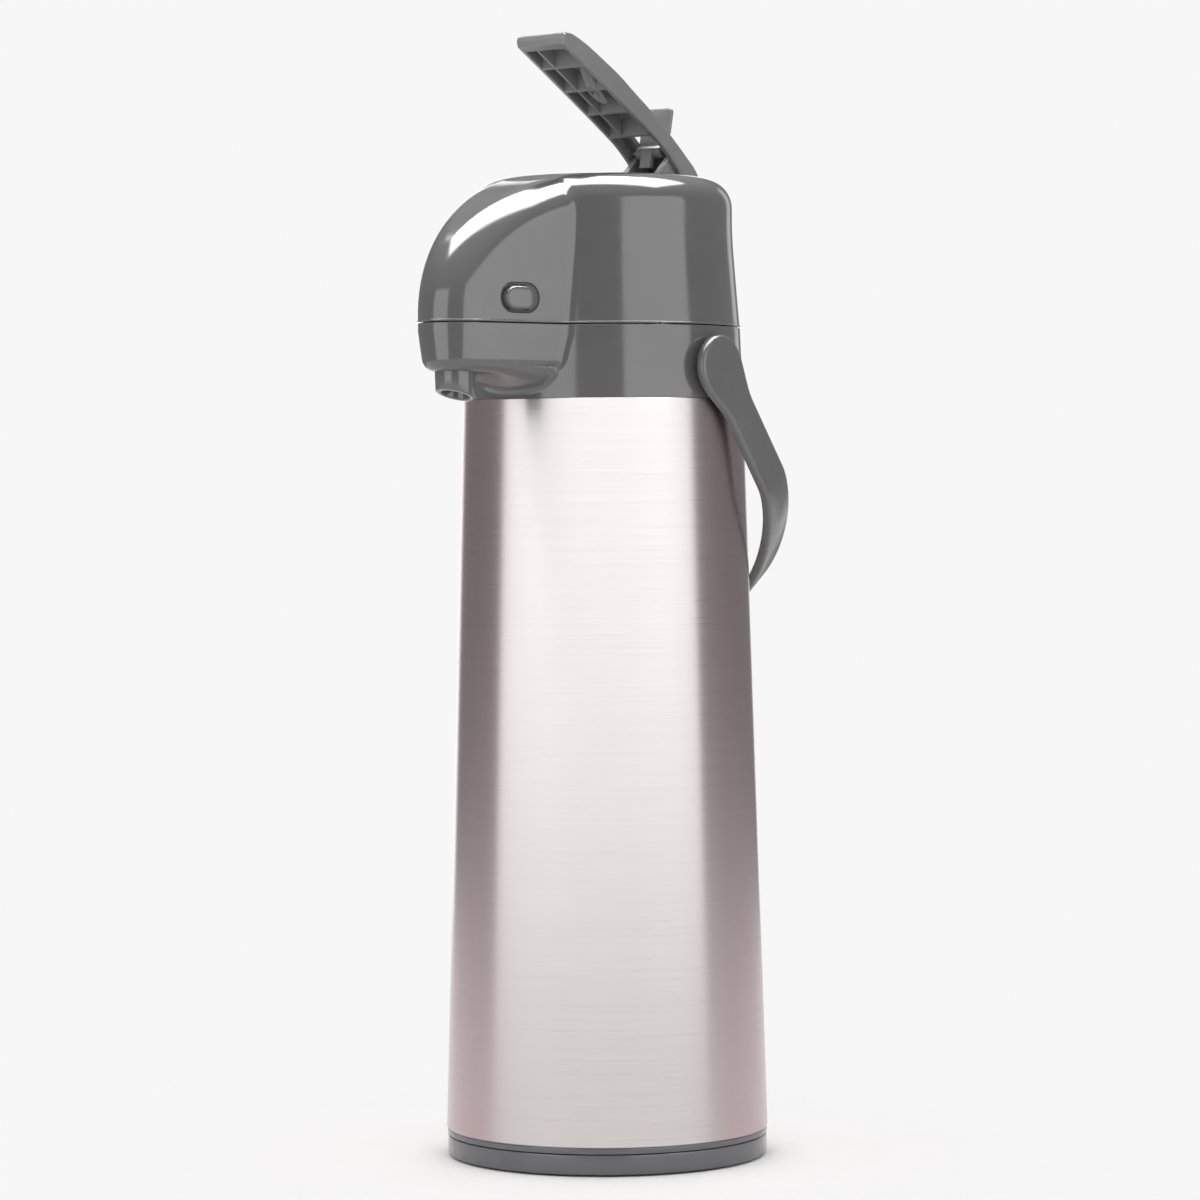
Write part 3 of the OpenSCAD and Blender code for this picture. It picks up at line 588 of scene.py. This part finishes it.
def build_handle():
    """Flat strap with round ends and rounded edges, bent along its path, with a trunnion at each end."""
    length, across, reach = strap_path()
    total = length[-1] - STRAP_SPARE
    ends = [-PADDLE_R * math.cos(math.radians(a)) for a in range(6, 90, 6)] + [2 * i for i in range(13)]
    middle_part = list(np.linspace(26, total - 26, 180))
    stations = ends + middle_part + [total - s for s in reversed(ends)]
    forward = [(s, strap_half(min(s, total - s))) for s in stations]
    outline = [(-PADDLE_R, 0)] + forward + [(total + PADDLE_R, 0)] + [(s, -v) for s, v in reversed(forward)]
    edge = 1.5
    half_t = STRAP_T / 2
    turn = [math.radians(a) for a in (90, 60, 30, 0)]
    steps = [(half_t - edge + edge * math.sin(a), edge - edge * math.cos(a)) for a in turn]
    rings = []
    for out, trim in [(-h, d) for h, d in steps] + [(h, d) for h, d in reversed(steps)]:
        s, v = inset(outline, trim).T
        x, y = np.interp(s, length, across), np.interp(s, length, reach)
        tx = np.interp(s + 0.5, length, across) - np.interp(s - 0.5, length, across)
        ty = np.interp(s + 0.5, length, reach) - np.interp(s - 0.5, length, reach)
        size = np.hypot(tx, ty)
        rings.append(np.column_stack([x + out * ty / size, y - out * tx / size, v]))
    count = len(outline)
    pairs = [(i, count - i) for i in range(1, count // 2)]
    faces = []
    for first in (0, (len(rings) - 1) * count):
        rungs = [(first + i, first + j) for i, j in pairs]
        faces.append((first, rungs[0][0], rungs[0][1]))
        faces += [(a[0], b[0], b[1], a[1]) for a, b in zip(rungs, rungs[1:])]
        faces.append((rungs[-1][0], first + count // 2, rungs[-1][1]))
    flipped = len(faces) // 2
    faces[:flipped] = [face[::-1] for face in faces[:flipped]]
    for r in range(len(rings) - 1):
        for i in range(count):
            j = (i + 1) % count
            low, high = r * count, (r + 1) * count
            faces.append((low + i, low + j, high + j, high + i))
    strap = outward(make_object("swing_handle", np.concatenate(rings), faces))
    strap.data.transform(Matrix.Rotation(math.radians(STRAP_LEAN - 90), 4, "X"))
    strap.data.transform(Matrix.Translation(TRUNNION * MM))
    for side in (-1, 1):
        inner = side * (STRAP_X - STRAP_T / 2 + 1)
        shoulder = rod_x("shoulder", 0, TRUNNION.z, 6, *sorted((side * 61.8, inner)), 64)
        pin = rod_x("pin", 0, TRUNNION.z, 4, *sorted((side * 48.5, inner)), 64, 0.4)
        groove = disc("groove", [(6, -0.5), (6, 0.5)], 64)
        combine(groove, disc("core", [(3.2, -2), (3.2, 2)], 64))
        groove.data.transform(Matrix.Translation((side * 51.4 * MM, 0, TRUNNION.z * MM))
                              @ Matrix.Rotation(math.pi / 2, 4, "Y"))
        combine(pin, groove)
        join(strap, shoulder, pin)
    return soften(strap, 40)


# ---------------------------------------------------------------- lid

def stadium(length, height, count=12):
    """Closed outline of a rounded slot: u along, v across."""
    r = height / 2
    out = []
    for side in (1, -1):
        for k in range(count + 1):
            a = math.radians(-90 + 180 * k / count) + (0 if side > 0 else math.pi)
            out.append((side * (length / 2 - r) + r * math.cos(a), r * math.sin(a)))
    return out


# Release buttons: place in front of the axis and above the floor, size, and how far they stand out
BUTTON_AT = (79, 373)
BUTTON_SIZE = (16.6, 10)
BUTTON_PROUD = 2.2
BUTTON_EDGE = 1.3

# Opening for the lever in the top of the lid
SLOT_HALF = 14.5
SLOT_FRONT = 14
SLOT_BACK = 54.3


def on_face(side):
    """From button axes (length, height, outwards) to the nose's side face, in metres."""
    forward, z = BUTTON_AT
    out = Vector((side * math.cos(NOSE_TILT), -math.sin(NOSE_TILT), 0))
    up = Vector((0, 0, 1))
    along = up.cross(out)
    axes = Matrix((along, up, out)).transposed().to_4x4()
    return Matrix.Translation(Vector((side * nose_half(forward), -forward, z)) * MM) @ axes


def stadium_loft(name, side, steps):
    """Stack of stadium rings on the side face; steps: (length, height, outwards)."""
    rings = [[(u, v, out) for u, v in stadium(length, height)] for length, height, out in steps]
    obj = loft(name, rings)
    obj.data.transform(on_face(side))
    return outward(obj)


def button_steps(length, height):
    """Flange behind the wall, straight sides, and a rounded, slightly pillowed top."""
    bend = BUTTON_PROUD - BUTTON_EDGE
    steps = [(length + 4, height + 4, -4.1), (length + 4, height + 4, -2.6), (length, height, -2.59),
             (length, height, bend)]
    for a in (20, 40, 60, 80):
        narrow = 2 * BUTTON_EDGE * (1 - math.cos(math.radians(a)))
        steps.append((length - narrow, height - narrow, bend + BUTTON_EDGE * math.sin(math.radians(a))))
    steps.append((length - 5, height - 5, BUTTON_PROUD + 0.12))
    steps.append((length - 8.5, height - 8.5, BUTTON_PROUD + 0.2))
    return steps


def build_button(side, name):
    button = stadium_loft(name, side, button_steps(*BUTTON_SIZE))
    return soften(button, 40)


def lid_ribs():
    """Cheeks beside the lever slot and the four screw columns."""
    ribs = []
    for side in (-1, 1):
        x0, x1 = sorted((side * SLOT_HALF, side * (SLOT_HALF + 3)))
        ribs.append(block("cheek", (x0, 10, 405), (x1, 70, 445)))
    for angle in COLUMN_ANGLES:
        column = disc("column", [(4, ARC_Z), (4, ARC_Z + 16)], 48, (COLUMN_R, 0))
        join(column, block("web", (COLUMN_R, -1, ARC_Z + 0.01), (COLUMN_R + 20, 1, ARC_Z + 15.9)))
        column.data.transform(Matrix.Rotation(math.radians(angle), 4, "Z"))
        ribs.append(column)
    return ribs


def slot_tool():
    """Opening for the lever, wider by a small chamfer at the flat top."""
    def ring(grow, z):
        half, front = SLOT_HALF + grow, SLOT_FRONT - grow
        outline = arc_corners([(-half, front, 2.5), (half, front, 2.5),
                               (half, SLOT_BACK, 1.5), (-half, SLOT_BACK, 1.5)], 5)
        return [(x, y, z) for x, y in outline]
    return loft("slot", [ring(0, 404), ring(0, LID_TOP - 0.9), ring(0.35, LID_TOP - 0.3),
                         ring(0.9, LID_TOP + 0.05), ring(0.9, LID_TOP + 12)])


def build_lid():
    start = SEAM_Z + SEAM_GAP / 2
    level = [start + BEAD - BEAD * math.cos(math.radians(a)) for a in range(0, 181, 15)] + [start + 2]
    lid = cast_star("lid_moulding", lid_field, star_rows(start, ARC_Z, 89.4, level, 100))
    cavity = cast_star("cavity", lambda p: lid_field(p) + WALL,
                       [(start - 3, 0.0)] + star_rows(start, ARC_Z, 89.4, [start + 2 * BEAD], 60), 180)
    for rib in lid_ribs():
        combine(cavity, rib)
    combine(lid, cavity)
    web = block("web", (-7.9, LID_R[0] - 1.6, start), (7.9, HINGE.y, start + 5))
    join(web, rod_x("knuckle", HINGE.y, HINGE.z, 3.8, -7.9, 7.9, 64))
    join(lid, web)
    combine(lid, slot_tool(),
            rod_x("lever_bore", LEVER_AXLE.y, LEVER_AXLE.z, 2.5, -17.6, 17.6, 64),
            rod_x("pin_bore", HINGE.y, HINGE.z, 1.8, -18, 18, 48))
    for angle in COLUMN_ANGLES:
        combine(lid, disc("screw_bore", [(1.5, 363), (1.5, 377)], 32, spot(COLUMN_R, angle)))
    length, height = BUTTON_SIZE
    for side in (-1, 1):
        steps = [(length + 0.7, height + 0.7, -6), (length + 0.7, height + 0.7, -1.1),
                 (length + 1.1, height + 1.1, -0.95), (length + 2.6, height + 2.2, -0.85),
                 (length + 3.7, height + 2.8, -0.5), (length + 4.2, height + 3.2, 0.02),
                 (length + 4.6, height + 3.6, 0.6)]
        combine(lid, stadium_loft("recess", side, steps))
    shade_from_field(lid, lid_field)
    return lid


# ---------------------------------------------------------------- lever and lock

# Side view of the raised lever as (y, z): skin, front edge, hollow, half width and the tip of a cam
LEVER_TOP = [(-38.8, 489.2), (-34, 488.6), (-25, 485), (-13.4, 479), (-2.5, 473), (7, 466.7), (17, 460.3),
             (26, 454), (34.6, 447.4), (42.8, 440.7), (50.3, 434), (53.2, 427.5), (54, 419)]
LEVER_LOW = [(44, 419), (42.4, 425.5), (36.8, 434.3), (25.8, 444.3), (10.6, 454), (-5, 463.3), (-21, 472.7),
             (-37, 482)]
LEVER_TIP = [(-40.6, 484.1), (-41.4, 486.4), (-40.9, 488.4)]
VOID_TOP = [(-37.6, 486.2), (-33.4, 485.9), (-25.9, 482.9), (-14.4, 477), (-3.6, 471.1), (5.8, 464.8),
            (15.8, 458.5), (24.8, 452.2), (33.3, 445.6), (41.2, 439.1), (46.5, 433.5)]
VOID_LOW = [(40, 424), (36, 432), (25, 442), (9, 452), (-6, 461), (-22, 470), (-37.5, 480)]
LEVER_HALF = 13.5
CAM_TIP = (16.6, 417.5)


def lever_void():
    """Hollow of the lever, less its ribs and the ring boss."""
    half = LEVER_HALF - 2.2
    void = prism_x("void", smooth_line(VOID_TOP, 4) + smooth_line(VOID_LOW, 4), half)
    ribs = [block("rib", (-half / 3 - 1.2, -60, 440), (-half / 3, 18, 500))]
    for i in range(4):
        y = -26 + i * 15.2
        ribs.append(block("rib", (-15, y - 0.6, 440), (15, y + 0.6, 500)))
    for rib in ribs:
        combine(void, rib)
    ring = lathe("ring", [(2.1, -20), (3.3, -20), (3.3, 20), (2.1, 20)], 48)
    lean = math.atan2(9.4, 16)
    ring.data.transform(Matrix.Translation(Vector((half / 3, -10.5, 470)) * MM)
                        @ Matrix.Rotation(lean, 4, "X"))
    combine(void, ring)
    return void


def build_lever():
    outline = smooth_line(LEVER_TOP) + smooth_line(LEVER_LOW) + LEVER_TIP
    lever = prism_x("press_lever", outline, LEVER_HALF, 0.9)
    join(lever, rod_x("hub", LEVER_AXLE.y, LEVER_AXLE.z, 5, -LEVER_HALF, LEVER_HALF, 96, 0.5))
    combine(lever, lever_void())
    y, z = CAM_TIP
    slot_low = (-7.4, LOCK_AXLE.y - 7, LOCK_AXLE.z - 3)
    slot_high = (7.4, LOCK_AXLE.y + 3.4, LOCK_AXLE.z + 9)
    root = [(36, 441), (44, 434), (50, 419), (44, 415), (y + 1.6, z - 3.67), (y - 3, z + 2.6)]
    for side in (-1, 1):
        cam = prism_x("cam", root, 1.5, 0.0, side * 9.5)
        join(cam, rod_x("cam_tip", y, z, 4, side * 9.5 - 1.5, side * 9.5 + 1.5, 64))
        join(lever, cam)
    combine(lever,
            rod_x("axle_bore", LEVER_AXLE.y, LEVER_AXLE.z, 2.55, -20, 20, 64),
            rod_x("pin_bore", LOCK_AXLE.y, LOCK_AXLE.z, 1.2, -20, 20, 48),
            block("tab_slot", slot_low, slot_high))
    return soften(lever, 25)


def build_lock_tab():
    """Upright fin on a hub, with a small tongue below."""
    plan = arc_corners([(-7, 0, 0), (7, 0, 0), (7, 8, 0.8), (9.3, 8, 0.6), (9.3, 20, 2), (-9.3, 20, 2),
                        (-9.3, 8, 0.6), (-7, 8, 0.8)], 5)
    rings = []
    for y, d in ((-0.9, 0.35), (-0.75, 0.1), (-0.55, 0), (0.55, 0), (0.75, 0.1), (0.9, 0.35)):
        rings.append([(x, y, z) for x, z in inset(plan, d)])
    tab = loft("lock_fin", rings)
    join(tab, rod_x("hub", 0, 0, 3, -7, 7, 64, 0.4), block("tongue", (-3, -3.4, -8), (3, -1.4, 1)))
    combine(tab, rod_x("bore", 0, 0, 1.25, -9, 9, 48))
    tab.data.transform(Matrix.Translation(LOCK_AXLE * MM) @ Matrix.Rotation(math.radians(-12), 4, "X"))
    return soften(tab, 35)


# ---------------------------------------------------------------- pump

def build_bellows():
    """Thin rubber skin with rounded folds."""
    folds = 5
    clear = 0.03
    low, high = BELLOWS_LOW.z + clear, BELLOWS_HIGH.z - clear
    crest = BELLOWS_HIGH.x
    centre_y = middle("bellows").y
    skin = 1.1
    line = []
    for i in range(folds * 12 + 1):
        phase = math.tau * i / 12
        wave = 0.5 - 0.5 * math.cos(phase)
        line.append((crest - 6 + 5.9 * wave ** 0.8, low + (high - low) * i / (folds * 12)))
    outline = line + [(r - skin, z) for r, z in reversed(line)]
    return soften(lathe("bellows_skin", outline, 192, (0, centre_y)), 60)


def build_spring():
    """Coil of round wire, evenly pitched from one seat to the other."""
    centre = middle("return_spring")
    low, high = corners("return_spring")
    turns, wire = 5, 0.8
    coil = high.x - wire
    steps = 48 * turns
    rings = []
    for i in range(steps + 1):
        a = math.tau * turns * i / steps
        z = low.z + wire + (high.z - low.z - 2 * wire) * i / steps
        rings.append([((coil + wire * math.cos(b)) * math.cos(a),
                       centre.y + (coil + wire * math.cos(b)) * math.sin(a), z + wire * math.sin(b))
                      for b in np.arange(12) * math.tau / 12])
    return soften(loft("coil_spring", rings), 60)


# ---------------------------------------------------------------- materials

class Shader:
    """A principled material with short calls for its nodes."""

    def __init__(self, name, colour, roughness, **inputs):
        self.material = bpy.data.materials.new(name)
        self.material.use_nodes = True
        self.tree = self.material.node_tree
        self.bsdf = self.tree.nodes["Principled BSDF"]
        self.set(self.bsdf, {"Base Color": (*colour, 1), "Roughness": roughness, **inputs})
        self.coords = self.add("ShaderNodeTexCoord").outputs["Object"]

    def add(self, kind, inputs=None, **settings):
        node = self.tree.nodes.new(kind)
        for key, value in settings.items():
            setattr(node, key, value)
        self.set(node, inputs or {})
        return node

    def set(self, node, inputs):
        for key, value in inputs.items():
            if isinstance(value, bpy.types.NodeSocket):
                self.tree.links.new(value, node.inputs[key])
            else:
                node.inputs[key].default_value = value

    def noise(self, scale, detail=3, stretch=(1, 1, 1)):
        mapped = self.add("ShaderNodeMapping", {"Vector": self.coords, "Scale": stretch}).outputs[0]
        node = self.add("ShaderNodeTexNoise", {"Vector": mapped, "Scale": scale, "Detail": detail})
        return node.outputs["Fac"]

    def spread(self, value, low, high, start=0.3, end=0.7):
        node = self.add("ShaderNodeMapRange", {"Value": value, "From Min": start, "From Max": end,
                                               "To Min": low, "To Max": high})
        return node.outputs["Result"]

    def mix(self, factor, first, second):
        node = self.add("ShaderNodeMix", data_type="RGBA")
        for index, value in ((0, factor), (6, first), (7, second)):
            if isinstance(value, bpy.types.NodeSocket):
                self.tree.links.new(value, node.inputs[index])
            else:
                node.inputs[index].default_value = value
        return node.outputs[2]

    def mottle(self, scale, detail, colour, low, high):
        """Colour that drifts between two shades of itself."""
        return self.mix(self.spread(self.noise(scale, detail), 0, 1), shade(colour, low), shade(colour, high))

    def worn_edges(self):
        """Share of wear along convex edges, from how sharply the surface bends."""
        node = self.add("ShaderNodeNewGeometry")
        return self.spread(node.outputs["Pointiness"], 0, 1, 0.52, 0.6)

    def bump(self, height, distance):
        node = self.add("ShaderNodeBump", {"Height": height, "Distance": distance, "Strength": 1.0})
        self.set(self.bsdf, {"Normal": node.outputs["Normal"]})


def shade(colour, factor):
    return (*[c * factor for c in colour], 1)


def moulded(name, colour, roughness, ior=1.62, grain=2e-6, grain_scale=900, wear=0.25):
    """Moulded plastic: faint mottling, uneven gloss, slight surface ripple and lighter worn edges."""
    s = Shader(name, colour, roughness, IOR=ior)
    edges = s.spread(s.worn_edges(), 0, wear, 0, 1)
    s.set(s.bsdf, {"Base Color": s.mix(edges, s.mottle(35, 4, colour, 0.95, 1.05), shade(colour, 1.8)),
                   "Roughness": s.spread(s.noise(120, 5), roughness * 0.8, roughness * 1.25)})
    s.bump(s.noise(grain_scale, 2), grain)
    return s.material


def brushed_steel():
    """Steel brushed round the body: fine hair lines, cloudy tone, and a painted reflection: a warm
    purple-brown tint where the surface turns away at a slant, standing in for the dark studio sides that the
    steel mirrors.
    """
    colour = (0.56, 0.535, 0.525)
    s = Shader("brushed_steel", colour, 0.3, Metallic=1.0, Anisotropic=0.8)
    hair = s.noise(1, 3, (12, 12, 3600))
    cloud = s.noise(16, 4, (1, 1, 0.35))
    tone = s.mix(s.spread(hair, 0, 1), shade(colour, 0.96), shade(colour, 1.03))
    tone = s.mix(s.spread(cloud, 0, 0.3, 0.45, 0.75), tone, (0.50, 0.455, 0.475, 1))
    # painted reflection: a warm purple-brown tint at grazing angles, in place of the dark studio sides
    # mirrored at the steel's edges
    facing = s.add("ShaderNodeLayerWeight", {"Blend": 0.5}).outputs["Facing"]
    tone = s.mix(s.spread(facing, 0, 1, 0.2, 0.4), tone, (0.56, 0.45, 0.455, 1))
    tangent = s.add("ShaderNodeTangent", direction_type="RADIAL", axis="Z")
    s.set(s.bsdf, {"Base Color": tone, "Roughness": s.spread(hair, 0.27, 0.33),
                   "Anisotropic Rotation": 0.25, "Tangent": tangent.outputs["Tangent"]})
    s.bump(hair, 1.5e-6)
    return s.material


def plated_metal():
    """Plated steel of the screws, pins and springs."""
    colour = (0.62, 0.62, 0.63)
    s = Shader("plated_metal", colour, 0.22, Metallic=1.0)
    s.set(s.bsdf, {"Base Color": s.mottle(200, 4, colour, 0.8, 1.1),
                   "Roughness": s.spread(s.noise(500, 5), 0.15, 0.35)})
    s.bump(s.noise(3000, 2), 2e-6)
    return s.material


def soft_rubber(name, colour):
    """Dull rubber with a fine grain."""
    s = Shader(name, colour, 0.62)
    s.set(s.bsdf, {"Base Color": s.mottle(90, 4, colour, 0.8, 1.3),
                   "Roughness": s.spread(s.noise(300, 4), 0.5, 0.75)})
    s.bump(s.noise(2200, 3), 8e-6)
    return s.material


def natural_plastic():
    """Milky unpigmented plastic of the tubes."""
    colour = (0.72, 0.71, 0.66)
    s = Shader("natural_plastic", colour, 0.3)
    s.set(s.bsdf, {"Subsurface Weight": 0.25, "Subsurface Radius": (0.004, 0.004, 0.003),
                   "Base Color": s.mottle(60, 4, colour, 0.92, 1.04),
                   "Roughness": s.spread(s.noise(250, 4), 0.22, 0.4)})
    s.bump(s.noise(700, 2), 4e-6)
    return s.material


def silvered_glass():
    """Mirror glass of the vacuum flask."""
    colour = (0.82, 0.84, 0.85)
    s = Shader("silvered_glass", colour, 0.06, Metallic=0.9)
    s.set(s.bsdf, {"Coat Weight": 1.0, "Coat Roughness": 0.02,
                   "Base Color": s.mottle(45, 4, colour, 0.85, 1.05),
                   "Roughness": s.spread(s.noise(120, 3), 0.04, 0.12)})
    s.bump(s.noise(60, 2), 2e-5)
    return s.material


def paint(obj, material):
    obj.data.materials.clear()
    obj.data.materials.append(material)
    for face in obj.data.polygons:
        face.material_index = 0


def dress_cad_nodes(finishes):
    """Gives every CAD node that is still shown its finish."""
    for material, names in finishes:
        for name in names:
            paint(frame["nodes"][name], material)


# ---------------------------------------------------------------- stage, light and camera

# Camera: degrees to the side of the spout, distance and height in metres, roll in degrees
VIEW_AZIMUTH = 40
VIEW_DISTANCE = 1.85
VIEW_HEIGHT = 0.287
VIEW_ROLL = -0.35
PALE = 0.93           # background level


class WorldShader(Shader):
    """The world's nodes, with the same short calls."""

    def __init__(self):
        world = bpy.data.worlds.new("studio")
        bpy.context.scene.world = world
        world.use_nodes = True
        self.tree = world.node_tree
        self.tree.nodes.clear()

    def math(self, operation, *values):
        node = self.add("ShaderNodeMath", operation=operation)
        for index, value in enumerate(values):
            self.set(node, {index: value})
        return node.outputs[0]

    def ramp(self, value, start, end):
        node = self.add("ShaderNodeMapRange", {"Value": value, "From Min": start, "From Max": end},
                        interpolation_type="SMOOTHSTEP")
        return node.outputs["Result"]

    def band(self, value, low, high, soft):
        rise = self.ramp(value, low - soft, low + soft)
        fall = self.ramp(value, high + soft, high - soft)
        return self.math("MULTIPLY", rise, fall)


# Soft boxes: azimuth from the camera, half width, elevation from and to, strength, seen by the steel or not
SOFT_BOXES = [
    ("box_left", -41.5, 19.5, -25, 24, 1.6, False),
    ("box_right", 47, 30, -25, 24, 1.6, False),
    ("box_edge", 150, 6, -25, 24, 0.7, False),
    ("box_rear", 185, 13, -25, 24, 1.1, False),
    ("steel_left", -60.5, 27.5, -50, 55, 1.12, True),
    ("steel_middle", -5.5, 27.5, -50, 55, 1.12, True),
    ("steel_right", 49.5, 27.5, -50, 55, 1.12, True),
    ("steel_rear", 185, 20, -50, 55, 1.0, True),
]
BOX_DISTANCE = 2.5
BOX_HEIGHT = 0.3
DARK = 0.24           # room level in reflections

# Overhead box in reflections: strength, and its reach towards the camera and across, for a height of one
OVERHEAD = 15.0
OVERHEAD_AHEAD = (-0.5, 0.34)
OVERHEAD_ACROSS = (-0.75, 0.75)


def build_soft_boxes(steel):
    """Panels seen only in reflections: some by the steel alone, the rest by everything else."""
    only = bpy.data.collections.new("only_steel")
    rest = bpy.data.collections.new("all_but_steel")
    for collection, state in ((only, "INCLUDE"), (rest, "EXCLUDE")):
        collection.objects.link(steel)
        collection.collection_objects[0].light_linking.link_state = state
    for name, azimuth, half, low, high, strength, on_steel in SOFT_BOXES:
        light = bpy.data.lights.new(name, "AREA")
        light.shape = "RECTANGLE"
        bottom, top = (BOX_DISTANCE * math.tan(math.radians(e)) for e in (low, high))
        light.size = 2 * BOX_DISTANCE * math.tan(math.radians(half))
        light.size_y = top - bottom
        light.energy = 4 * strength * light.size * light.size_y
        box = bpy.data.objects.new(name, light)
        a = math.radians(VIEW_AZIMUTH + azimuth)
        box.location = (BOX_DISTANCE * math.sin(a), -BOX_DISTANCE * math.cos(a),
                        BOX_HEIGHT + (bottom + top) / 2)
        box.rotation_euler = (math.pi / 2, 0, a)
        box.visible_camera = False
        box.visible_diffuse = False
        box.light_linking.receiver_collection = only if on_steel else rest
        bpy.context.scene.collection.objects.link(box)


def build_world():
    """Even soft light; reflections see a dim room that brightens upwards and one overhead box."""
    w = WorldShader()
    way = w.add("ShaderNodeSeparateXYZ", {"Vector": w.add("ShaderNodeTexCoord").outputs["Generated"]})
    x, y, z = (way.outputs[i] for i in range(3))
    sine, cosine = math.sin(math.radians(VIEW_AZIMUTH)), math.cos(math.radians(VIEW_AZIMUTH))
    ahead = w.math("SUBTRACT", w.math("MULTIPLY", x, sine), w.math("MULTIPLY", y, cosine))
    across = w.math("ADD", w.math("MULTIPLY", x, cosine), w.math("MULTIPLY", y, sine))
    height = w.math("MAXIMUM", z, 0.02)
    over = w.math("MULTIPLY", w.band(w.math("DIVIDE", ahead, height), *OVERHEAD_AHEAD, 0.03),
                  w.band(w.math("DIVIDE", across, height), *OVERHEAD_ACROSS, 0.03))
    over = w.math("MULTIPLY", over, w.ramp(z, 0.1, 0.2))
    room = w.math("ADD", w.math("MULTIPLY", w.ramp(z, 0.25, 0.9), 0.75), DARK)
    seen = w.math("ADD", w.math("MULTIPLY", over, OVERHEAD), room)
    soft_light = w.math("ADD", w.math("MULTIPLY", z, 0.22), 0.95)
    path = w.add("ShaderNodeLightPath").outputs
    level = w.add("ShaderNodeMix", {"Factor": path["Is Glossy Ray"], "A": soft_light, "B": seen})
    level = w.add("ShaderNodeMix", {"Factor": path["Is Camera Ray"], "A": level.outputs[0], "B": PALE})
    glow = w.add("ShaderNodeBackground", {"Color": (1, 1, 1, 1), "Strength": level.outputs[0]})
    out = w.add("ShaderNodeOutputWorld")
    w.tree.links.new(glow.outputs[0], out.inputs[0])


def build_floor():
    """Pale disc that fades into the background away from the pot."""
    floor = disc("pale_floor", [(1100, -4), (1100, 0)], 128)
    grey = (0.86, 0.86, 0.86)
    s = Shader("pale_floor", grey, 0.6)
    s.set(s.bsdf, {"Specular IOR Level": 0.0, "Base Color": s.mottle(14, 4, grey, 0.988, 1.012)})
    split = s.add("ShaderNodeSeparateXYZ", {"Vector": s.coords})
    flat = s.add("ShaderNodeCombineXYZ", {"X": split.outputs[0], "Y": split.outputs[1]})
    length = s.add("ShaderNodeVectorMath", {0: flat.outputs[0]}, operation="LENGTH")
    far = s.spread(length.outputs["Value"], 0, 1, 0.085, 0.30)
    glow = s.add("ShaderNodeEmission", {"Color": (PALE, PALE, PALE, 1)})
    fade = s.add("ShaderNodeMixShader", {0: far, 1: s.bsdf.outputs[0], 2: glow.outputs[0]})
    s.tree.links.new(fade.outputs[0], s.tree.nodes["Material Output"].inputs["Surface"])
    paint(floor, s.material)


def build_camera():
    """Camera at the viewing angle, standing level and shifted to frame the pot."""
    data = bpy.data.cameras.new("camera")
    data.lens = 126
    data.sensor_width = 36
    data.shift_x = -0.003
    data.shift_y = -0.083
    data.clip_end = 20
    camera = bpy.data.objects.new("camera", data)
    a = math.radians(VIEW_AZIMUTH)
    camera.location = (VIEW_DISTANCE * math.sin(a), -VIEW_DISTANCE * math.cos(a), VIEW_HEIGHT)
    look = Euler((math.pi / 2, 0, a)).to_matrix() @ Matrix.Rotation(math.radians(VIEW_ROLL), 3, "Z")
    camera.rotation_euler = look.to_euler()
    bpy.context.scene.collection.objects.link(camera)
    bpy.context.scene.camera = camera


# ---------------------------------------------------------------- assembly

def place(obj, body, material, slot, *nodes):
    """Finishes a piece and lets it stand in for its CAD nodes on their body."""
    paint(obj, material)
    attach(obj, body)
    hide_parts(*nodes)


def assemble():
    """Builds and dresses every piece, and returns the steel shell."""
    head = moulded("head_plastic", (0.112, 0.112, 0.113), 0.13)
    lever_skin = moulded("lever_plastic", (0.19, 0.19, 0.19), 0.34, grain=1.2e-5, grain_scale=1500)
    handle_skin = moulded("handle_plastic", (0.118, 0.118, 0.119), 0.24, grain=4e-6)
    foot_skin = moulded("base_plastic", (0.105, 0.106, 0.118), 0.16)
    inner_skin = moulded("inner_plastic", (0.085, 0.085, 0.087), 0.35, grain=6e-6)
    rubber = soft_rubber("rubber", (0.03, 0.03, 0.03))
    bellows_skin = soft_rubber("bellows_rubber", (0.045, 0.045, 0.047))
    metal = plated_metal()
    milky = natural_plastic()

    place(build_swivel_base(), "base", foot_skin, "base_plastic", "swivel_base")
    place(build_base_cup(), "vessel", foot_skin, "base_plastic", "base_cup")
    shell = build_shell()
    place(shell, "vessel", brushed_steel(), "brushed_shell", "body_shell")
    place(build_collar(), "vessel", head, "head_plastic", "collar")
    place(build_nozzle(), "vessel", head, "head_plastic", "spout_nozzle")
    place(build_handle(), "handle", handle_skin, "handle_plastic", "carry_handle")
    place(build_lid(), "lid", head, "head_plastic", "lid_cover")
    place(build_lever(), "lever", lever_skin, "head_plastic", "lever")
    place(build_lock_tab(), "lock", lever_skin, "head_plastic", "lock_tab")
    place(build_button(-1, "lid_button_left"), "button_left", head, "head_plastic", "release_button_left")
    place(build_button(1, "lid_button_right"), "button_right", head, "head_plastic", "release_button_right")

    for piece, material, slot, node in ((build_bellows(), bellows_skin, "bellows_rubber", "bellows"),
                                        (build_spring(), metal, "plated_steel", "return_spring")):
        place(piece, "lid", material, slot, node)
        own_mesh(piece)

    dress_cad_nodes([
        (rubber, ["foot_pads", "screw_cover", "flask_cushion", "neck_gasket", "nozzle_oring", "air_gasket",
                  "intake_valve"]),
        (metal, ["swivel_screw", "mouth_ring_screws", "valve_ball", "pivot_clips", "lid_plate_screws",
                 "lid_hinge_pin", "lever_pin", "lock_pin"]),
        (milky, ["swivel_washer", "dip_tube", "pour_pipe"]),
        (inner_skin, ["mouth_ring", "mouth_plate", "lid_plate", "plunger"]),
        (silvered_glass(), ["flask_outer", "flask_inner"]),
    ])
    return shell


build_soft_boxes(assemble())
build_world()
build_floor()
build_camera()
bpy.context.scene.view_settings.view_transform = "Standard"
